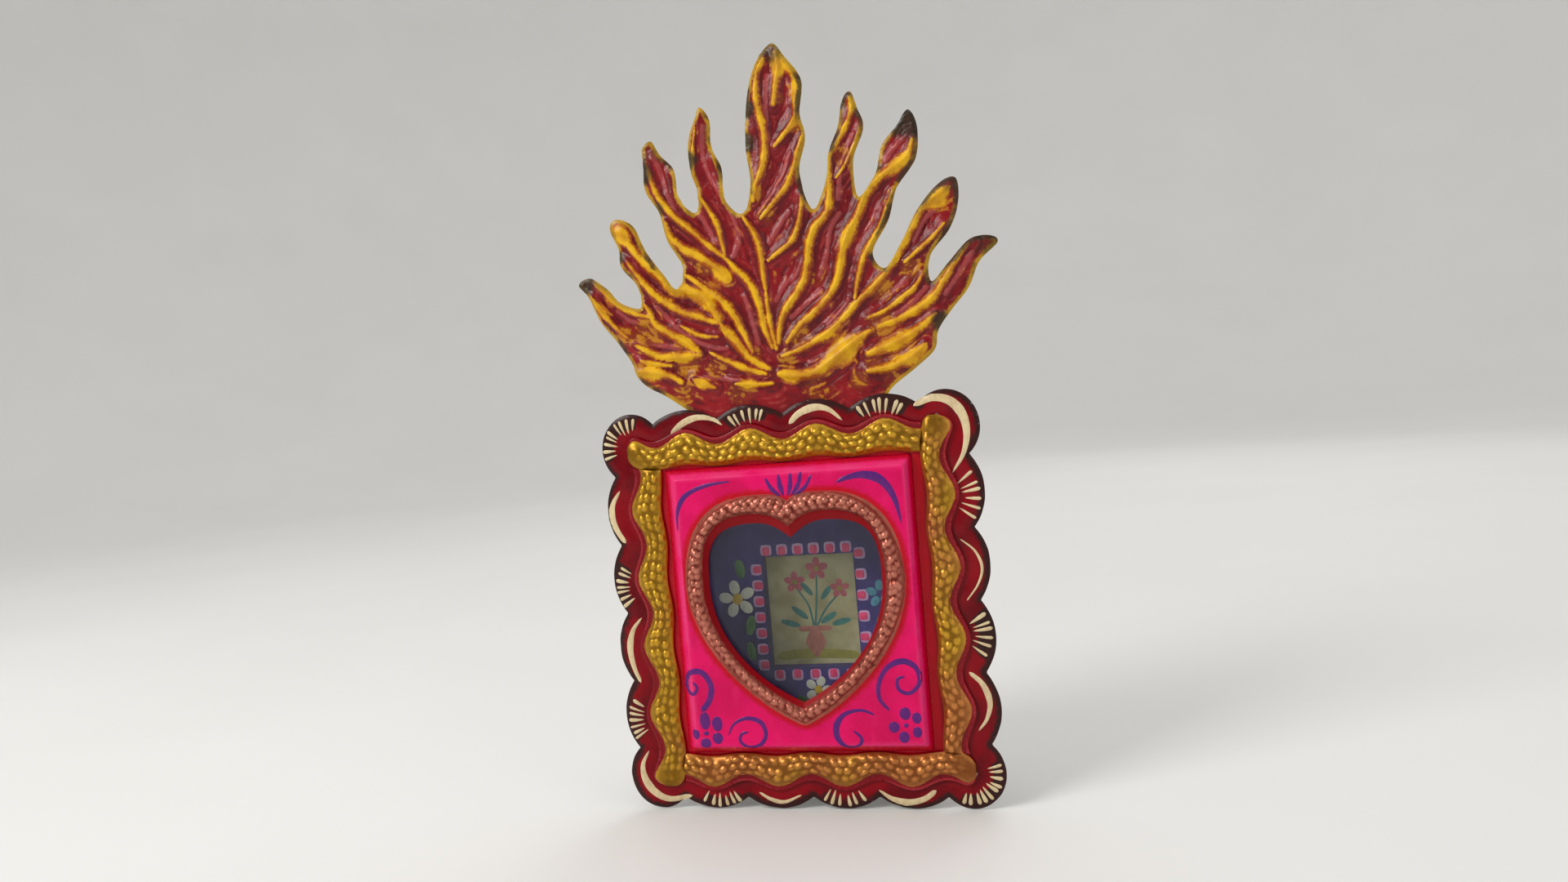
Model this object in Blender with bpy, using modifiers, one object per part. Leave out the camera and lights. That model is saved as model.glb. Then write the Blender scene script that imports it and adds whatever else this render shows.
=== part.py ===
"""Tin wall nicho: a shallow tin box with a scalloped front, a heart window and a crest of flames.

The front faces -Y and +Z is up. The wall is the plane y = 0, and the origin is on it, at the middle
of the box's top rear flange. Inside the model, x and z are counted from the middle of the front.
"""

from math import atan2, cos, pi, radians, sin, sqrt

import bmesh
import bpy
from mathutils import Vector
from mathutils.geometry import delaunay_2d_cdt, interpolate_bezier

MM = 0.001

# Sheet, wire and clearances
TIN = 0.5 * MM
GAP = 0.3 * MM
RING_WIRE = 0.7 * MM
PIN_RADIUS = 0.6 * MM

# Raised panel with the heart window
PANEL_WIDTH = 62.6 * MM
PANEL_HEIGHT = 72.8 * MM
PANEL_RISE = 4.0 * MM
PANEL_SLOPE = 2.0 * MM
PANEL_ROUNDING = 0.6 * MM
PANEL_SKIRT = 5.0 * MM
PANEL_SQUARENESS = 36
HEART_SIDE_MARGIN = 3.7 * MM
HEART_TOP_MARGIN = 7.4 * MM
HEART_TIP_MARGIN = 7.7 * MM
HEART_CLEFT_DEPTH = 2.7 * MM
HEART_SHOULDER_DROP = 19.6 * MM
HEART_RIDGE_WIDTH = 4.7 * MM
HEART_RIDGE_HEIGHT = 1.6 * MM
HEART_LIP_DEPTH = 1.2 * MM
HEART_LIP_SLOPE = 1.0 * MM
HEART_BEADS = 64

# Scalloped frame and its beaded strips
SIDE_BORDER = 16.7 * MM
END_BORDER = 14.8 * MM
SCALLOPS = 4
SCALLOP_RISE = 3.0 * MM
CORNER_LOBE_X = 8.2 * MM
CORNER_LOBE_Z = 9.0 * MM
STRIP_SIDE_OFFSET = 4.6 * MM
STRIP_END_OFFSET = 3.8 * MM
STRIP_RIDGE_WIDTH = 6.0 * MM
STRIP_RIDGE_HEIGHT = 1.2 * MM
STRIP_OUTER_MARGIN = 1.8 * MM
STRIP_INNER_MARGIN = 0.3 * MM
STRIP_OUTER_WAVE = 1.3 * MM
STRIP_INNER_WAVE = 0.4 * MM
STRIP_OVERRUN = 5.0 * MM
BEAD_PITCH = 2.75 * MM
BEAD_HEIGHT = 0.55 * MM

# Flame crest
CREST_RIDGE = 1.8 * MM
CREST_RIDGE_SPREAD = 3.4 * MM
CREST_RAMP = 12.0 * MM
CREST_OVERLAP = 7.0 * MM

# Box, glass and the painted panel inside
BOX_DEPTH = 24.0 * MM
BOX_LIP = 4.0 * MM
REAR_FLANGE = 4.6 * MM
GLASS_THICKNESS = 1.5 * MM
GLASS_TAB_WIDTH = 6.0 * MM
GLASS_TAB_REACH = 5.0 * MM
NICHE_FOLD = 4.4 * MM
WINDOW_WIDTH = 24.7 * MM
WINDOW_HEIGHT = 30.3 * MM
WINDOW_DROP = 4.6 * MM

# Rear door, its hinge and the picture it carries
DOOR_LIP = 6.5 * MM
KNUCKLES = 5
KNUCKLE_LENGTH = 9.0 * MM
HINGE_LEAF = 9.5 * MM
PIN_TAIL = 3.0 * MM
BACKING_THICKNESS = 1.8 * MM
PICTURE_THICKNESS = 0.4 * MM
PICTURE_MARGIN = 1.4 * MM

# Hanging ring and its strap
RING_RADIUS = 6.0 * MM
RING_SETBACK = 5.0 * MM
STRAP_WIDTH = 4.0 * MM
STRAP_FOOT = 2.8 * MM
STRAP_PLAY = 0.7 * MM

# Crest outline in millimetres above and beside the middle of the frame's top edge,
# from the left of its neck over the nine tongues to the right of its neck
CREST_OUTLINE = [
    (-24.0, -0.5), (-29.5, 3.5), (-35.7, 7.5), (-38.5, 13.5), (-42.0, 19.0), (-45.8, 24.5),
    (-48.0, 30.5), (-51.0, 34.3), (-47.5, 35.7), (-43.0, 32.5), (-39.5, 28.5), (-34.3, 26.8),
    (-35.0, 32.5), (-38.7, 37.5), (-39.3, 42.5), (-41.2, 47.5), (-39.5, 49.9), (-35.0, 47.8),
    (-31.9, 41.0), (-27.5, 34.5), (-24.2, 30.4),
    (-22.3, 35.5), (-25.6, 42.5), (-27.3, 50.0), (-30.6, 56.0), (-30.4, 63.0), (-30.6, 66.5),
    (-28.2, 68.3), (-26.0, 64.5), (-22.4, 60.0), (-21.6, 53.0), (-18.0, 48.9),
    (-16.6, 52.5), (-18.2, 60.5), (-18.0, 67.0), (-16.2, 71.5), (-14.8, 74.9), (-12.4, 71.5),
    (-12.4, 65.0), (-10.0, 59.0), (-9.6, 51.0), (-5.7, 47.3),
    (-3.0, 53.5), (-3.6, 63.5), (-2.4, 74.5), (0.3, 82.5), (4.8, 87.7), (8.2, 83.7),
    (11.8, 77.5), (10.8, 69.5), (11.7, 63.5), (9.5, 55.5), (12.0, 46.3),
    (16.0, 53.0), (17.2, 59.5), (19.7, 65.0), (21.2, 71.0), (23.5, 73.1), (24.9, 69.0),
    (26.0, 64.0), (22.9, 56.5), (23.4, 47.9),
    (27.8, 52.5), (30.0, 59.5), (33.8, 63.5), (36.8, 67.2), (38.8, 63.0), (38.0, 55.5),
    (33.0, 49.0), (30.3, 41.5), (25.9, 34.2), (28.7, 30.1),
    (33.2, 36.0), (37.0, 42.5), (42.5, 48.5), (46.8, 49.7), (47.2, 44.5), (44.8, 38.0),
    (39.5, 31.8), (39.4, 25.8),
    (43.7, 29.8), (49.0, 34.7), (53.5, 35.3), (55.6, 33.5), (51.0, 29.4), (48.0, 23.5),
    (43.5, 18.5), (40.1, 14.0), (38.9, 9.5), (34.0, 5.5), (28.5, 1.7), (26.5, -0.5),
]

# Raised spine of each tongue, on the same grid: where all of them start, then for each one
# the point that its curve leans to and its end
CREST_ROOT = (1.0, 5.5)
CREST_SPINES = [
    ((-18.0, 7.0), (-33.0, 10.5)),
    ((-25.0, 16.5), (-48.0, 33.5)),
    ((-24.0, 26.5), (-38.6, 46.5)),
    ((-16.0, 36.5), (-28.4, 65.0)),
    ((-9.5, 40.5), (-15.0, 71.0)),
    ((0.5, 46.5), (4.6, 83.5)),
    ((13.0, 40.5), (23.2, 69.5)),
    ((20.0, 32.5), (36.4, 63.5)),
    ((26.0, 24.5), (45.0, 47.0)),
    ((29.0, 14.5), (52.5, 33.7)),
    ((20.0, 7.0), (34.0, 11.0)),
]

# Sizes that follow from the ones above
OPENING_X = PANEL_WIDTH / 2 + GAP
OPENING_Z = PANEL_HEIGHT / 2 + GAP
FRAME_X = OPENING_X + SIDE_BORDER
FRAME_Z = OPENING_Z + END_BORDER
BOX_X = OPENING_X + TIN
BOX_Z = OPENING_Z + TIN
FRAME_FACE = -BOX_DEPTH
SHEET_BEHIND = FRAME_FACE + TIN + GAP
GLASS_FACE = FRAME_FACE - PANEL_RISE + HEART_LIP_DEPTH + GAP
GLASS_BACK = GLASS_FACE + GLASS_THICKNESS
BACKING_BACK = -TIN - GAP
BACKING_FACE = BACKING_BACK - BACKING_THICKNESS
PICTURE_FACE = BACKING_FACE - GAP - PICTURE_THICKNESS
NICHE_BACK = PICTURE_FACE - GAP
NICHE_FACE = NICHE_BACK - NICHE_FOLD
KNUCKLE_RADIUS = PIN_RADIUS + GAP + TIN / 2
HINGE_X = -(BOX_X + GAP + TIN / 2) - KNUCKLE_RADIUS
HINGE_Y = -TIN / 2 - KNUCKLE_RADIUS
HINGE_TOP = KNUCKLES * KNUCKLE_LENGTH / 2
RING_Z = BOX_Z + GAP + RING_WIRE

for stale in list(bpy.data.objects):
    bpy.data.objects.remove(stale, do_unlink=True)

parts = bpy.data.collections.new("tin_wall_nicho")
cutters = bpy.data.collections.new("nicho_cutters")
bpy.context.scene.collection.children.link(parts)
bpy.context.scene.collection.children.link(cutters)


def pivot(name, place, parent=None):
    """An empty that other objects hang on."""
    empty = bpy.data.objects.new(name, None)
    empty.location = place
    empty.parent = parent
    parts.objects.link(empty)
    return empty


front_middle = pivot("front_middle", (0.0, 0.0, -(BOX_Z - REAR_FLANGE / 2)))
door_hinge = pivot("door_hinge", (HINGE_X, HINGE_Y, 0.0), front_middle)
ring_hinge = pivot("ring_hinge", (0.0, -RING_SETBACK, RING_Z), front_middle)


def paint(name, colour, roughness, metallic=0.0, transmission=0.0):
    """A Principled material; colour is linear RGB."""
    material = bpy.data.materials.new(name)
    material.use_nodes = True
    shader = material.node_tree.nodes["Principled BSDF"]
    shader.inputs["Base Color"].default_value = (*colour, 1.0)
    shader.inputs["Roughness"].default_value = roughness
    shader.inputs["Metallic"].default_value = metallic
    shader.inputs["Transmission Weight"].default_value = transmission
    return material


BARE_TIN = paint("bare_tin", (0.56, 0.55, 0.52), 0.38, 0.9)
STEEL_WIRE = paint("steel_wire", (0.42, 0.41, 0.39), 0.32, 1.0)
CRIMSON = paint("crimson_enamel", (0.26, 0.004, 0.012), 0.3)
GOLD = paint("gold_paint", (0.5, 0.28, 0.035), 0.36, 0.6)
PINK = paint("pink_enamel", (0.74, 0.008, 0.13), 0.3)
FLAME = paint("flame_enamel", (0.42, 0.05, 0.02), 0.32)
VIOLET = paint("violet_enamel", (0.07, 0.06, 0.13), 0.45)
GLASS = paint("clear_glass", (0.9, 0.95, 0.95), 0.05, 0.0, 1.0)
BOARD = paint("grey_board", (0.36, 0.31, 0.25), 0.8)
PRINT = paint("printed_card", (0.62, 0.56, 0.42), 0.6)


def add(name, data, material, home=parts):
    """An object that hangs on the middle of the front."""
    item = bpy.data.objects.new(name, data)
    item.parent = front_middle
    home.objects.link(item)
    data.materials.append(material)
    return item


def hang(item, hinge):
    """Hands an object to a hinge without moving it."""
    item.parent = hinge
    item.location -= hinge.location


def add_mesh(name, bm, material, home=parts):
    mesh = bpy.data.meshes.new(name)
    bm.to_mesh(mesh)
    bm.free()
    return add(name, mesh, material, home)


def block(name, low, high, material, home=parts):
    """A box between two corners."""
    bm = bmesh.new()
    bmesh.ops.create_cube(bm, size=1.0)
    centre = (Vector(low) + Vector(high)) / 2
    size = Vector(high) - Vector(low)
    for vert in bm.verts:
        vert.co = centre + vert.co * size
    return add_mesh(name, bm, material, home)


def helper(name, low, high):
    """A box that only cuts or joins."""
    item = block(name, low, high, BARE_TIN, cutters)
    item.hide_render = True
    item.display_type = "WIRE"
    return item


def boolean(item, other, operation):
    change = item.modifiers.new(other.name, "BOOLEAN")
    change.operation = operation
    change.object = other


def ring_loft(name, loops, material):
    """A closed band of sheet: loops of equal length, each joined to the next, the last to the first."""
    bm = bmesh.new()
    rings = [[bm.verts.new(point) for point in loop] for loop in loops]
    for ring, following in zip(rings, rings[1:] + rings[:1]):
        for i in range(len(ring)):
            bm.faces.new((ring[i - 1], ring[i], following[i], following[i - 1]))
    bmesh.ops.recalc_face_normals(bm, faces=bm.faces)
    return add_mesh(name, bm, material)


def sheet(name, profile, rows, place, material, kept=None):
    """Tin along a profile, swept over rows; place(point, row) is the middle of its thickness.

    kept(column, row) says which cells stay where the sheet has cut-outs.
    """
    bm = bmesh.new()
    grid = [[bm.verts.new(place(point, row)) for row in rows] for point in profile]
    for i in range(len(profile) - 1):
        for j in range(len(rows) - 1):
            if kept is None or kept(i, j):
                bm.faces.new((grid[i][j], grid[i + 1][j], grid[i + 1][j + 1], grid[i][j + 1]))
    loose = [vert for vert in bm.verts if not vert.link_faces]
    bmesh.ops.delete(bm, geom=loose, context="VERTS")
    item = add_mesh(name, bm, material)
    thicken(item)
    return item


def thicken(item):
    solid = item.modifiers.new("thickness", "SOLIDIFY")
    solid.thickness = TIN
    solid.offset = 0.0
    solid.use_even_offset = True


def wire(name, points, radius, material, closed=False):
    """A wire along points."""
    curve = bpy.data.curves.new(name, "CURVE")
    curve.dimensions = "3D"
    curve.bevel_depth = radius
    curve.bevel_resolution = 2
    curve.use_fill_caps = True
    spline = curve.splines.new("POLY")
    spline.points.add(len(points) - 1)
    spline.use_cyclic_u = closed
    for target, point in zip(spline.points, points):
        target.co = (*point, 1.0)
    return add(name, curve, material)


def arc(centre, radius, start, end, steps):
    """Points on a circle between two angles in degrees."""
    angles = [radians(start + (end - start) * i / steps) for i in range(steps + 1)]
    return [(centre[0] + radius * cos(a), centre[1] + radius * sin(a)) for a in angles]


def rectangle(half_x, half_z, drop=0.0):
    return [
        (-half_x, half_z - drop),
        (half_x, half_z - drop),
        (half_x, -half_z - drop),
        (-half_x, -half_z - drop),
    ]


def stand(outline, y):
    """Points of an outline in the XZ plane, at depth y."""
    return [(x, y, z) for x, z in outline]


def scallop_reach():
    """Half lengths of the rows of scallops along the ends and the sides, between the corner lobes."""
    lift_x = 1 - SCALLOP_RISE / CORNER_LOBE_X
    lift_z = 1 - SCALLOP_RISE / CORNER_LOBE_Z
    along_x = FRAME_X - CORNER_LOBE_X * (1 + sqrt(1 - lift_z ** 2))
    along_z = FRAME_Z - CORNER_LOBE_Z * (1 + sqrt(1 - lift_x ** 2))
    return along_x, along_z


def scallop_row(half, steps=8):
    """(place along the row, height over the notches) for one row of scallops."""
    chord = half / SCALLOPS
    radius = (chord ** 2 + SCALLOP_RISE ** 2) / (2 * SCALLOP_RISE)
    row = []
    for k in range(SCALLOPS):
        centre = -half + chord * (2 * k + 1)
        for s in range(steps):
            e = chord * (2 * s / steps - 1)
            row.append((centre + e, sqrt(radius ** 2 - e ** 2) - radius + SCALLOP_RISE))
    return row


def scalloped_outline(corner_steps=14):
    """Clockwise from the top left notch: four rows of scallops and four round corner lobes."""
    along_x, along_z = scallop_reach()
    lobe_x = FRAME_X - CORNER_LOBE_X
    lobe_z = FRAME_Z - CORNER_LOBE_Z
    notch_x = FRAME_X - SCALLOP_RISE
    notch_z = FRAME_Z - SCALLOP_RISE
    start = atan2((notch_z - lobe_z) / CORNER_LOBE_Z, (along_x - lobe_x) / CORNER_LOBE_X)
    end = atan2((along_z - lobe_z) / CORNER_LOBE_Z, (notch_x - lobe_x) / CORNER_LOBE_X)
    lobe = []
    for s in range(corner_steps + 1):
        turn = start + (end - start) * s / corner_steps
        lobe.append((lobe_x + CORNER_LOBE_X * cos(turn), lobe_z + CORNER_LOBE_Z * sin(turn)))
    forth = lobe[:-1]
    back = lobe[:0:-1]
    top = [(s, notch_z + h) for s, h in scallop_row(along_x)]
    right = [(notch_x + h, -s) for s, h in scallop_row(along_z)]
    bottom = [(-x, -z) for x, z in top]
    left = [(-x, -z) for x, z in right]
    lower_right = [(x, -z) for x, z in back]
    lower_left = [(-x, -z) for x, z in forth]
    upper_left = [(-x, z) for x, z in back]
    return top + forth + right + lower_right + bottom + lower_left + left + upper_left


def scalloped_frame():
    """The flat front sheet, cut out for the panel."""
    curve = bpy.data.curves.new("scalloped_frame", "CURVE")
    curve.dimensions = "2D"
    curve.fill_mode = "BOTH"
    curve.extrude = TIN / 2
    for outline in (scalloped_outline(), rectangle(OPENING_X, OPENING_Z)):
        spline = curve.splines.new("POLY")
        spline.points.add(len(outline) - 1)
        spline.use_cyclic_u = True
        for point, (x, z) in zip(spline.points, outline):
            point.co = (x, z, 0.0, 1.0)
    frame = add("scalloped_frame", curve, CRIMSON)
    frame.rotation_euler.x = pi / 2
    frame.location.y = FRAME_FACE + TIN / 2


def beaded_strip(name, offset, reach, scallop, put):
    """A wavy strip with a raised ridge and two rows of beads, soldered along one side of the frame.

    It covers the corner at its first end and stops short of the next strip at its other end.
    put(along, out) is the point of the XZ plane on this strip's side.
    """
    ridge_edge = STRIP_RIDGE_WIDTH / 2
    outer = ridge_edge + STRIP_OUTER_MARGIN
    inner = -ridge_edge - STRIP_INNER_MARGIN
    low = -reach - STRIP_OVERRUN
    high = reach + inner - STRIP_INNER_WAVE - GAP
    beads = round((high - low) / BEAD_PITCH)
    ridge = STRIP_RIDGE_HEIGHT
    profile = [
        (outer, 0.0, 0.0),
        (ridge_edge, 0.0, 0.0),
        (ridge_edge / 2, ridge, ridge + BEAD_HEIGHT),
        (-ridge_edge / 2, ridge + BEAD_HEIGHT, ridge),
        (-ridge_edge, 0.0, 0.0),
        (inner, 0.0, 0.0),
    ]

    def place(point, station):
        out, even, odd = point
        along = low + (high - low) * station / (2 * beads)
        share = (out - inner) / (outer - inner)
        swing = STRIP_INNER_WAVE + (STRIP_OUTER_WAVE - STRIP_INNER_WAVE) * share
        x, z = put(along, offset + out - swing * cos(2 * pi * along / scallop))
        lift = GAP + TIN / 2 + (odd if station % 2 else even)
        return (x, FRAME_FACE - lift, z)

    sheet(name, profile, range(2 * beads + 1), place, GOLD)


def beaded_strips():
    along_x, along_z = scallop_reach()
    across_x = OPENING_X + STRIP_SIDE_OFFSET
    across_z = OPENING_Z + STRIP_END_OFFSET
    end_scallop = 2 * along_x / SCALLOPS
    side_scallop = 2 * along_z / SCALLOPS
    beaded_strip("beaded_strip_top", across_z, across_x, end_scallop, lambda a, o: (a, o))
    beaded_strip("beaded_strip_right", across_x, across_z, side_scallop, lambda a, o: (o, -a))
    beaded_strip("beaded_strip_bottom", across_z, across_x, end_scallop, lambda a, o: (-a, -o))
    beaded_strip("beaded_strip_left", across_x, across_z, side_scallop, lambda a, o: (-o, a))


def heart(offset):
    """Points of the heart, clockwise from the cleft, grown or shrunk by an offset from the ridge's middle.

    The handles of its three curves are shares of its half width.
    """
    half = PANEL_WIDTH / 2 - HEART_SIDE_MARGIN - HEART_RIDGE_WIDTH / 2
    top = PANEL_HEIGHT / 2 - HEART_TOP_MARGIN - HEART_RIDGE_WIDTH / 2
    tip = -PANEL_HEIGHT / 2 + HEART_TIP_MARGIN + HEART_RIDGE_WIDTH / 2
    cleft_growth = 1.4
    tip_growth = 0.9
    cleft = Vector((0.0, top - HEART_CLEFT_DEPTH + cleft_growth * offset))
    lobe = Vector((0.36 * half, top + offset))
    shoulder = Vector((half + offset, top - HEART_SHOULDER_DROP))
    point = Vector((0.0, tip - tip_growth * offset))
    bends = [
        (cleft, cleft + half * Vector((0.11, 0.09)), lobe - half * Vector((0.16, 0.0)), lobe),
        (lobe, lobe + half * Vector((0.46, 0.0)), shoulder + half * Vector((0.0, 0.44)), shoulder),
        (shoulder, shoulder - half * Vector((0.0, 0.59)), point + half * Vector((0.43, 0.2)), point),
    ]
    dense = [p for bend in bends for p in interpolate_bezier(*bend, 60)[:-1]] + [point]
    right = even(dense, HEART_BEADS)
    left = [Vector((-p.x, p.y)) for p in reversed(right[1:-1])]
    return right + left


def even(points, count):
    """The same line with count equal steps."""
    lengths = [0.0]
    for a, b in zip(points, points[1:]):
        lengths.append(lengths[-1] + (b - a).length)
    result = []
    k = 0
    for i in range(count + 1):
        wanted = lengths[-1] * i / count
        while k < len(points) - 2 and lengths[k + 1] < wanted:
            k += 1
        share = (wanted - lengths[k]) / (lengths[k + 1] - lengths[k])
        result.append(points[k].lerp(points[k + 1], share))
    return result


def rounded_panel(inset):
    """A rectangle with slightly rounded corners, with one point in the direction of each heart point."""
    half_x = PANEL_WIDTH / 2 - inset
    half_z = PANEL_HEIGHT / 2 - inset
    outline = []
    for p in heart(0.0):
        power = abs(p.x / half_x) ** PANEL_SQUARENESS + abs(p.y / half_z) ** PANEL_SQUARENESS
        outline.append(p / power ** (1 / PANEL_SQUARENESS))
    return outline


def heart_panel():
    """A tray with sloping sides, a heart window, a beaded ridge round it and a lip turned in to the glass."""
    half_ridge = HEART_RIDGE_WIDTH / 2
    lip_edge = -half_ridge - HEART_LIP_SLOPE
    crown = PANEL_RISE + HEART_RIDGE_HEIGHT
    knee = PANEL_RISE - PANEL_ROUNDING
    face_inset = PANEL_SLOPE + PANEL_ROUNDING
    front = [
        (rounded_panel(0.0), -PANEL_SKIRT),
        (rounded_panel(0.0), 2 * TIN),
        (rounded_panel(PANEL_SLOPE), knee),
        (rounded_panel(face_inset), PANEL_RISE),
        (heart(half_ridge), PANEL_RISE),
    ]
    rear = [
        (heart(half_ridge * 0.1), crown - 1.2 * TIN),
        (heart(half_ridge - 0.5 * TIN), PANEL_RISE - TIN),
        (rounded_panel(face_inset + 0.4 * TIN), PANEL_RISE - TIN),
        (rounded_panel(PANEL_SLOPE + 0.9 * TIN), knee - 0.4 * TIN),
        (rounded_panel(TIN), 1.8 * TIN),
        (rounded_panel(TIN), -PANEL_SKIRT),
    ]
    loops = [stand(loop, FRAME_FACE - lift) for loop, lift in front]
    for offset, odd_beads in ((half_ridge / 2, 0), (-half_ridge / 3, 1)):
        loops.append([
            (x, FRAME_FACE - crown - (BEAD_HEIGHT if i % 2 == odd_beads else 0.0), z)
            for i, (x, z) in enumerate(heart(offset))
        ])
    loops.append(stand(heart(-half_ridge), FRAME_FACE - PANEL_RISE - TIN))
    loops.append(stand(heart(lip_edge), FRAME_FACE - PANEL_RISE + HEART_LIP_DEPTH))
    loops.append(stand(heart(lip_edge + TIN), FRAME_FACE - PANEL_RISE + HEART_LIP_DEPTH))
    loops += [stand(loop, FRAME_FACE - lift) for loop, lift in rear]
    ring_loft("heart_panel", loops, PINK)


def smooth_through(points, steps):
    """An open Catmull-Rom curve through points."""
    ends = [points[0]] + points + [points[-1]]
    result = []
    for a, b, c, d in zip(ends, ends[1:], ends[2:], ends[3:]):
        for s in range(steps):
            t = s / steps
            bend = 2 * b + (c - a) * t + (2 * a - 5 * b + 4 * c - d) * t ** 2
            result.append((bend + (3 * b - a - 3 * c + d) * t ** 3) / 2)
    return result + [points[-1]]


def crest_point(place):
    return Vector((place[0] * MM, place[1] * MM + FRAME_Z))


def quadratic(start, lean, end, steps):
    """Points on a parabola that leaves start towards lean and ends at end."""
    points = []
    for i in range(steps + 1):
        t = i / steps
        points.append(start * (1 - t) ** 2 + lean * 2 * t * (1 - t) + end * t ** 2)
    return points


def crest_lines():
    """The raised spines, and the hollow lines that run between neighbouring ones."""
    root = crest_point(CREST_ROOT)
    bends = [(crest_point(lean), crest_point(end)) for lean, end in CREST_SPINES]
    spines = [quadratic(root, lean, end, 12) for lean, end in bends]
    hollows = [
        [a.lerp(b, 0.5) for a, b in zip(spine, neighbour)][3:9]
        for spine, neighbour in zip(spines, spines[1:])
    ]
    return [spine[:1] + spine[2:] for spine in spines], hollows


def crest_height(point, ridge_points):
    """Relief of the hammered sheet: ridges along the spines that rise out of their common root."""
    nearest = min((point - p).length for p in ridge_points)
    ridge = max(0.0, 1 - nearest / CREST_RIDGE_SPREAD)
    ramp = min(1.0, (point - crest_point(CREST_ROOT)).length / CREST_RAMP)
    return CREST_RIDGE * ridge * ramp


def flame_crest():
    """Hammered sheet with nine tongues; its neck goes down behind the frame."""
    flames = smooth_through([crest_point(place) for place in CREST_OUTLINE], 2)
    foot = FRAME_Z - CREST_OVERLAP
    outline = flames + [Vector((flames[-1].x, foot)), Vector((flames[0].x, foot))]
    spines, hollows = crest_lines()
    ridge_points = [p for spine in spines for p in even(spine, 40)]
    points = list(outline)
    neck_fold = (0, len(flames) - 1)
    edges = [neck_fold]
    for line in spines + hollows:
        first = len(points)
        points += line
        edges += [(first + i, first + i + 1) for i in range(len(line) - 1)]
    border = list(range(len(outline)))
    in_mm = [p / MM for p in points]
    verts, _, faces, *_ = delaunay_2d_cdt(in_mm, edges, [border], 1, 1e-4)
    bm = bmesh.new()
    made = []
    for vert in verts:
        p = Vector(vert) * MM
        depth = SHEET_BEHIND + TIN / 2 - crest_height(p, ridge_points)
        made.append(bm.verts.new((p.x, depth, p.y)))
    for face in faces:
        bm.faces.new([made[i] for i in face])
    thicken(add_mesh("flame_crest", bm, FLAME))


def glass():
    half_x = PANEL_WIDTH / 2 - PANEL_SLOPE - TIN - GAP
    half_z = PANEL_HEIGHT / 2 - PANEL_SLOPE - TIN - GAP
    pane = block("glass_pane", (-half_x, GLASS_FACE, -half_z), (half_x, GLASS_BACK, half_z), GLASS)
    bevel = pane.modifiers.new("ground_edges", "BEVEL")
    bevel.width = GLASS_THICKNESS / 6
    bevel.segments = 1


def glass_tabs():
    """Four bent tabs, soldered inside the panel's skirt, that press the glass against the heart's lip."""
    arm = GLASS_BACK + GAP + TIN / 2
    tail = FRAME_FACE + PANEL_SKIRT - TIN
    rows = (-GLASS_TAB_WIDTH / 2, GLASS_TAB_WIDTH / 2)

    def tab(name, half, put):
        leg = half - TIN - GAP - TIN / 2
        profile = [(leg, tail), (leg, arm), (leg - GLASS_TAB_REACH, arm)]
        sheet(name, profile, rows, lambda p, row: put(p[0], p[1], row), BARE_TIN)

    tab("glass_tab_left", PANEL_WIDTH / 2, lambda out, y, row: (-out, y, row))
    tab("glass_tab_right", PANEL_WIDTH / 2, lambda out, y, row: (out, y, row))
    tab("glass_tab_top", PANEL_HEIGHT / 2, lambda out, y, row: (row, y, out))
    tab("glass_tab_bottom", PANEL_HEIGHT / 2, lambda out, y, row: (row, y, -out))


def box_shell():
    """Four walls with a solder lip behind the frame and flanges at the top and bottom of the rear."""
    past = 2 * TIN
    flange_edge = BOX_Z - REAR_FLANGE
    lip_x = BOX_X + BOX_LIP
    lip_z = BOX_Z + BOX_LIP
    shell = block("box_shell", (-BOX_X, SHEET_BEHIND, -BOX_Z), (BOX_X, 0.0, BOX_Z), BARE_TIN)
    lip = helper("box_lip", (-lip_x, SHEET_BEHIND, -lip_z), (lip_x, SHEET_BEHIND + TIN, lip_z))
    inside = helper(
        "box_inside",
        (-OPENING_X, SHEET_BEHIND - past, -OPENING_Z),
        (OPENING_X, -TIN, OPENING_Z),
    )
    doorway = helper(
        "box_doorway",
        (-BOX_X - past, -TIN - GAP, -flange_edge),
        (BOX_X + past, past, flange_edge),
    )
    boolean(shell, lip, "UNION")
    boolean(shell, inside, "DIFFERENCE")
    boolean(shell, doorway, "DIFFERENCE")


def niche_panel():
    """The painted panel in the box: edges folded back to the walls, and a window folded back to the picture."""
    half_x = OPENING_X - GAP
    half_z = OPENING_Z - GAP
    window_x = WINDOW_WIDTH / 2
    window_z = WINDOW_HEIGHT / 2
    sheet_back = NICHE_FACE + TIN
    loops = [
        stand(rectangle(half_x, half_z), NICHE_FACE),
        stand(rectangle(half_x, half_z), NICHE_BACK),
        stand(rectangle(half_x - TIN, half_z - TIN), NICHE_BACK),
        stand(rectangle(half_x - TIN, half_z - TIN), sheet_back),
        stand(rectangle(window_x + TIN, window_z + TIN, WINDOW_DROP), sheet_back),
        stand(rectangle(window_x + TIN, window_z + TIN, WINDOW_DROP), NICHE_BACK),
        stand(rectangle(window_x, window_z, WINDOW_DROP), NICHE_BACK),
        stand(rectangle(window_x, window_z, WINDOW_DROP), NICHE_FACE),
    ]
    ring_loft("niche_panel", loops, VIOLET)


def knuckle_edges():
    return [-HINGE_TOP + KNUCKLE_LENGTH * k for k in range(KNUCKLES + 1)]


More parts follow.
